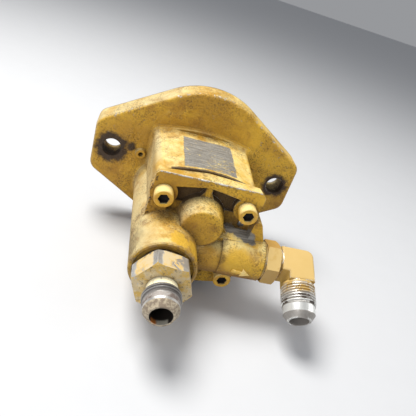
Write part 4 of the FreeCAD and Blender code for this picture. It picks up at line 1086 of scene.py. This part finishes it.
def arrowPaint():
    mat, shader = startMaterial("arrowPaint")
    grain = noise(coords(), *arrow["grain"])
    colour = blend(ramp(grain, *arrow["rubbedFrom"]), castPaint["golden"], arrow["rubbed"])
    dirt = times(crevice(arrow["dirtReach"], *arrow["dirtFrom"]), arrow["dirtShare"])
    feed(shader.inputs["Base Color"], blend(dirt, colour, castPaint["rusty"]))
    dull = scaled(grain, arrow["roughnessSpread"], arrow["smoothest"])
    feed(shader.inputs["Roughness"], dull)
    finishBump(shader, grain, arrow["relief"], arrow["bumpStrength"])
    return mat


def flatArrow(length):
    # the arrow laid flat along X, with a bevelled rim and enough points to bend
    neck = length - arrow["headLength"]
    shaft, head = arrow["shaftHalf"], arrow["headHalf"]
    outline = [(0, -shaft), (neck, -shaft), (neck, -head), (length, 0), (neck, head),
               (neck, shaft), (0, shaft)]
    bm = bmesh.new()
    face = bm.faces.new([bm.verts.new((x, y, -arrow["sunk"])) for x, y in outline])
    grown = bmesh.ops.extrude_face_region(bm, geom=[face])
    top = [item for item in grown["geom"] if isinstance(item, bmesh.types.BMVert)]
    bmesh.ops.translate(bm, vec=(0, 0, arrow["sunk"] + arrow["proud"]), verts=top)
    bmesh.ops.recalc_face_normals(bm, faces=bm.faces[:])
    rims = [edge for edge in bm.edges if all(vert.co.z > 0 for vert in edge.verts)]
    bmesh.ops.bevel(bm, geom=rims, offset=arrow["rimBevel"], affect="EDGES", segments=2,
                    profile=0.5, material=-1)
    bmesh.ops.triangulate(bm, faces=bm.faces[:])
    bmesh.ops.subdivide_edges(bm, edges=bm.edges[:], cuts=3, use_grid_fill=True)
    return bm


def makeArrow():
    axis = Vector(arrow["axis"]).normalized()
    ahead = axis.cross(Vector((0.0, 0.0, 1.0))).normalized()
    up = ahead.cross(axis)
    radius = arrow["bossRadius"]
    tailAlong, tailTurn = arrow["tail"]
    tipAlong, tipTurn = arrow["tip"]
    rise = radius * math.radians(tipTurn - tailTurn)
    run = tipAlong - tailAlong
    length = math.hypot(run, rise)
    bm = flatArrow(length)
    for vert in bm.verts:
        forward = vert.co.x * run / length - vert.co.y * rise / length
        around = vert.co.x * rise / length + vert.co.y * run / length
        angle = math.radians(tailTurn) + around / radius
        reach = radius + vert.co.z
        vert.co = (Vector(arrow["bossEnd"]) + axis * (tailAlong + forward)
                   + ahead * reach * math.cos(angle) + up * reach * math.sin(angle))
    piece = addPiece(bm, "flowArrow", arrowPaint(), arrow["smoothBelow"])
    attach(piece, "housing")


makeArrow()
print("arrow on the outlet boss")

# the floor lies just under the pump's lowest point
stageSet = {"floorZ": -0.0598, "floorHalf": 3.0, "floorColour": (0.58, 0.59, 0.61),
            "floorGrain": (60.0, 3.0, 0.5), "darkShare": 0.97, "floorRoughness": 0.8,
            "worldColour": (0.86, 0.88, 0.92), "worldLevel": 0.36,
            "lampAim": (0.0, -0.07, 0.0)}
cameraSet = {"lens": 36.775, "sensorWidth": 36.0, "clipStart": 0.01,
             "place": (-0.05415, -0.30080, 0.14069),
             "right": (0.9541, -0.0684, 0.2916), "up": (-0.2079, 0.5496, 0.8091)}
lampSet = {
    "overhead": {"place": (-0.30, 0.10, 0.75), "size": 0.45, "watts": 10.5,
                 "colour": (1.0, 0.98, 0.94)},
    "front": {"place": (-0.45, -0.80, 0.30), "size": 0.6, "watts": 3.0,
              "colour": (0.98, 0.98, 1.0)},
    "side": {"place": (0.75, -0.25, 0.35), "size": 0.5, "watts": 1.8,
             "colour": (1.0, 1.0, 1.0)},
}


def floorMaterial():
    mat, shader = startMaterial("studioFloor", stageSet["floorRoughness"])
    grain = noise(coords(), *stageSet["floorGrain"])
    colour = stageSet["floorColour"]
    darker = tuple(c * stageSet["darkShare"] for c in colour)
    feed(shader.inputs["Base Color"], blend(grain, darker, colour))
    return mat


def makeFloor():
    bm = bmesh.new()
    bmesh.ops.create_grid(bm, x_segments=2, y_segments=2, size=stageSet["floorHalf"],
                          matrix=Matrix.Translation((0, 0, stageSet["floorZ"])))
    mesh = bpy.data.meshes.new("studioFloor")
    bm.to_mesh(mesh)
    bm.free()
    floor = bpy.data.objects.new("studioFloor", mesh)
    bpy.context.scene.collection.objects.link(floor)
    mesh.materials.append(floorMaterial())


def makeWorld():
    world = bpy.data.worlds.new("studioWorld")
    world.use_nodes = True
    back = world.node_tree.nodes["Background"]
    back.inputs["Color"].default_value = (*stageSet["worldColour"], 1.0)
    back.inputs["Strength"].default_value = stageSet["worldLevel"]
    bpy.context.scene.world = world


def makeLamp(name, lamp):
    data = bpy.data.lights.new(name, "AREA")
    data.shape = "DISK"
    data.size = lamp["size"]
    data.energy = lamp["watts"]
    data.color = lamp["colour"]
    obj = bpy.data.objects.new(name, data)
    bpy.context.scene.collection.objects.link(obj)
    obj.location = lamp["place"]
    aim = Vector(stageSet["lampAim"]) - Vector(lamp["place"])
    obj.rotation_euler = aim.to_track_quat("-Z", "Y").to_euler()


def makeCamera():
    right = Vector(cameraSet["right"]).normalized()
    back = right.cross(Vector(cameraSet["up"])).normalized()
    up = back.cross(right)
    turn = Matrix((right, up, back)).transposed()
    data = bpy.data.cameras.new("photoCamera")
    data.lens = cameraSet["lens"]
    data.sensor_width = cameraSet["sensorWidth"]
    data.clip_start = cameraSet["clipStart"]
    obj = bpy.data.objects.new("photoCamera", data)
    bpy.context.scene.collection.objects.link(obj)
    obj.matrix_world = Matrix.Translation(cameraSet["place"]) @ turn.to_4x4()
    bpy.context.scene.camera = obj


makeFloor()
makeWorld()
for lampName, lamp in lampSet.items():
    makeLamp(lampName, lamp)
makeCamera()
bpy.context.scene.view_settings.view_transform = "Standard"
print("floor, lights and camera")
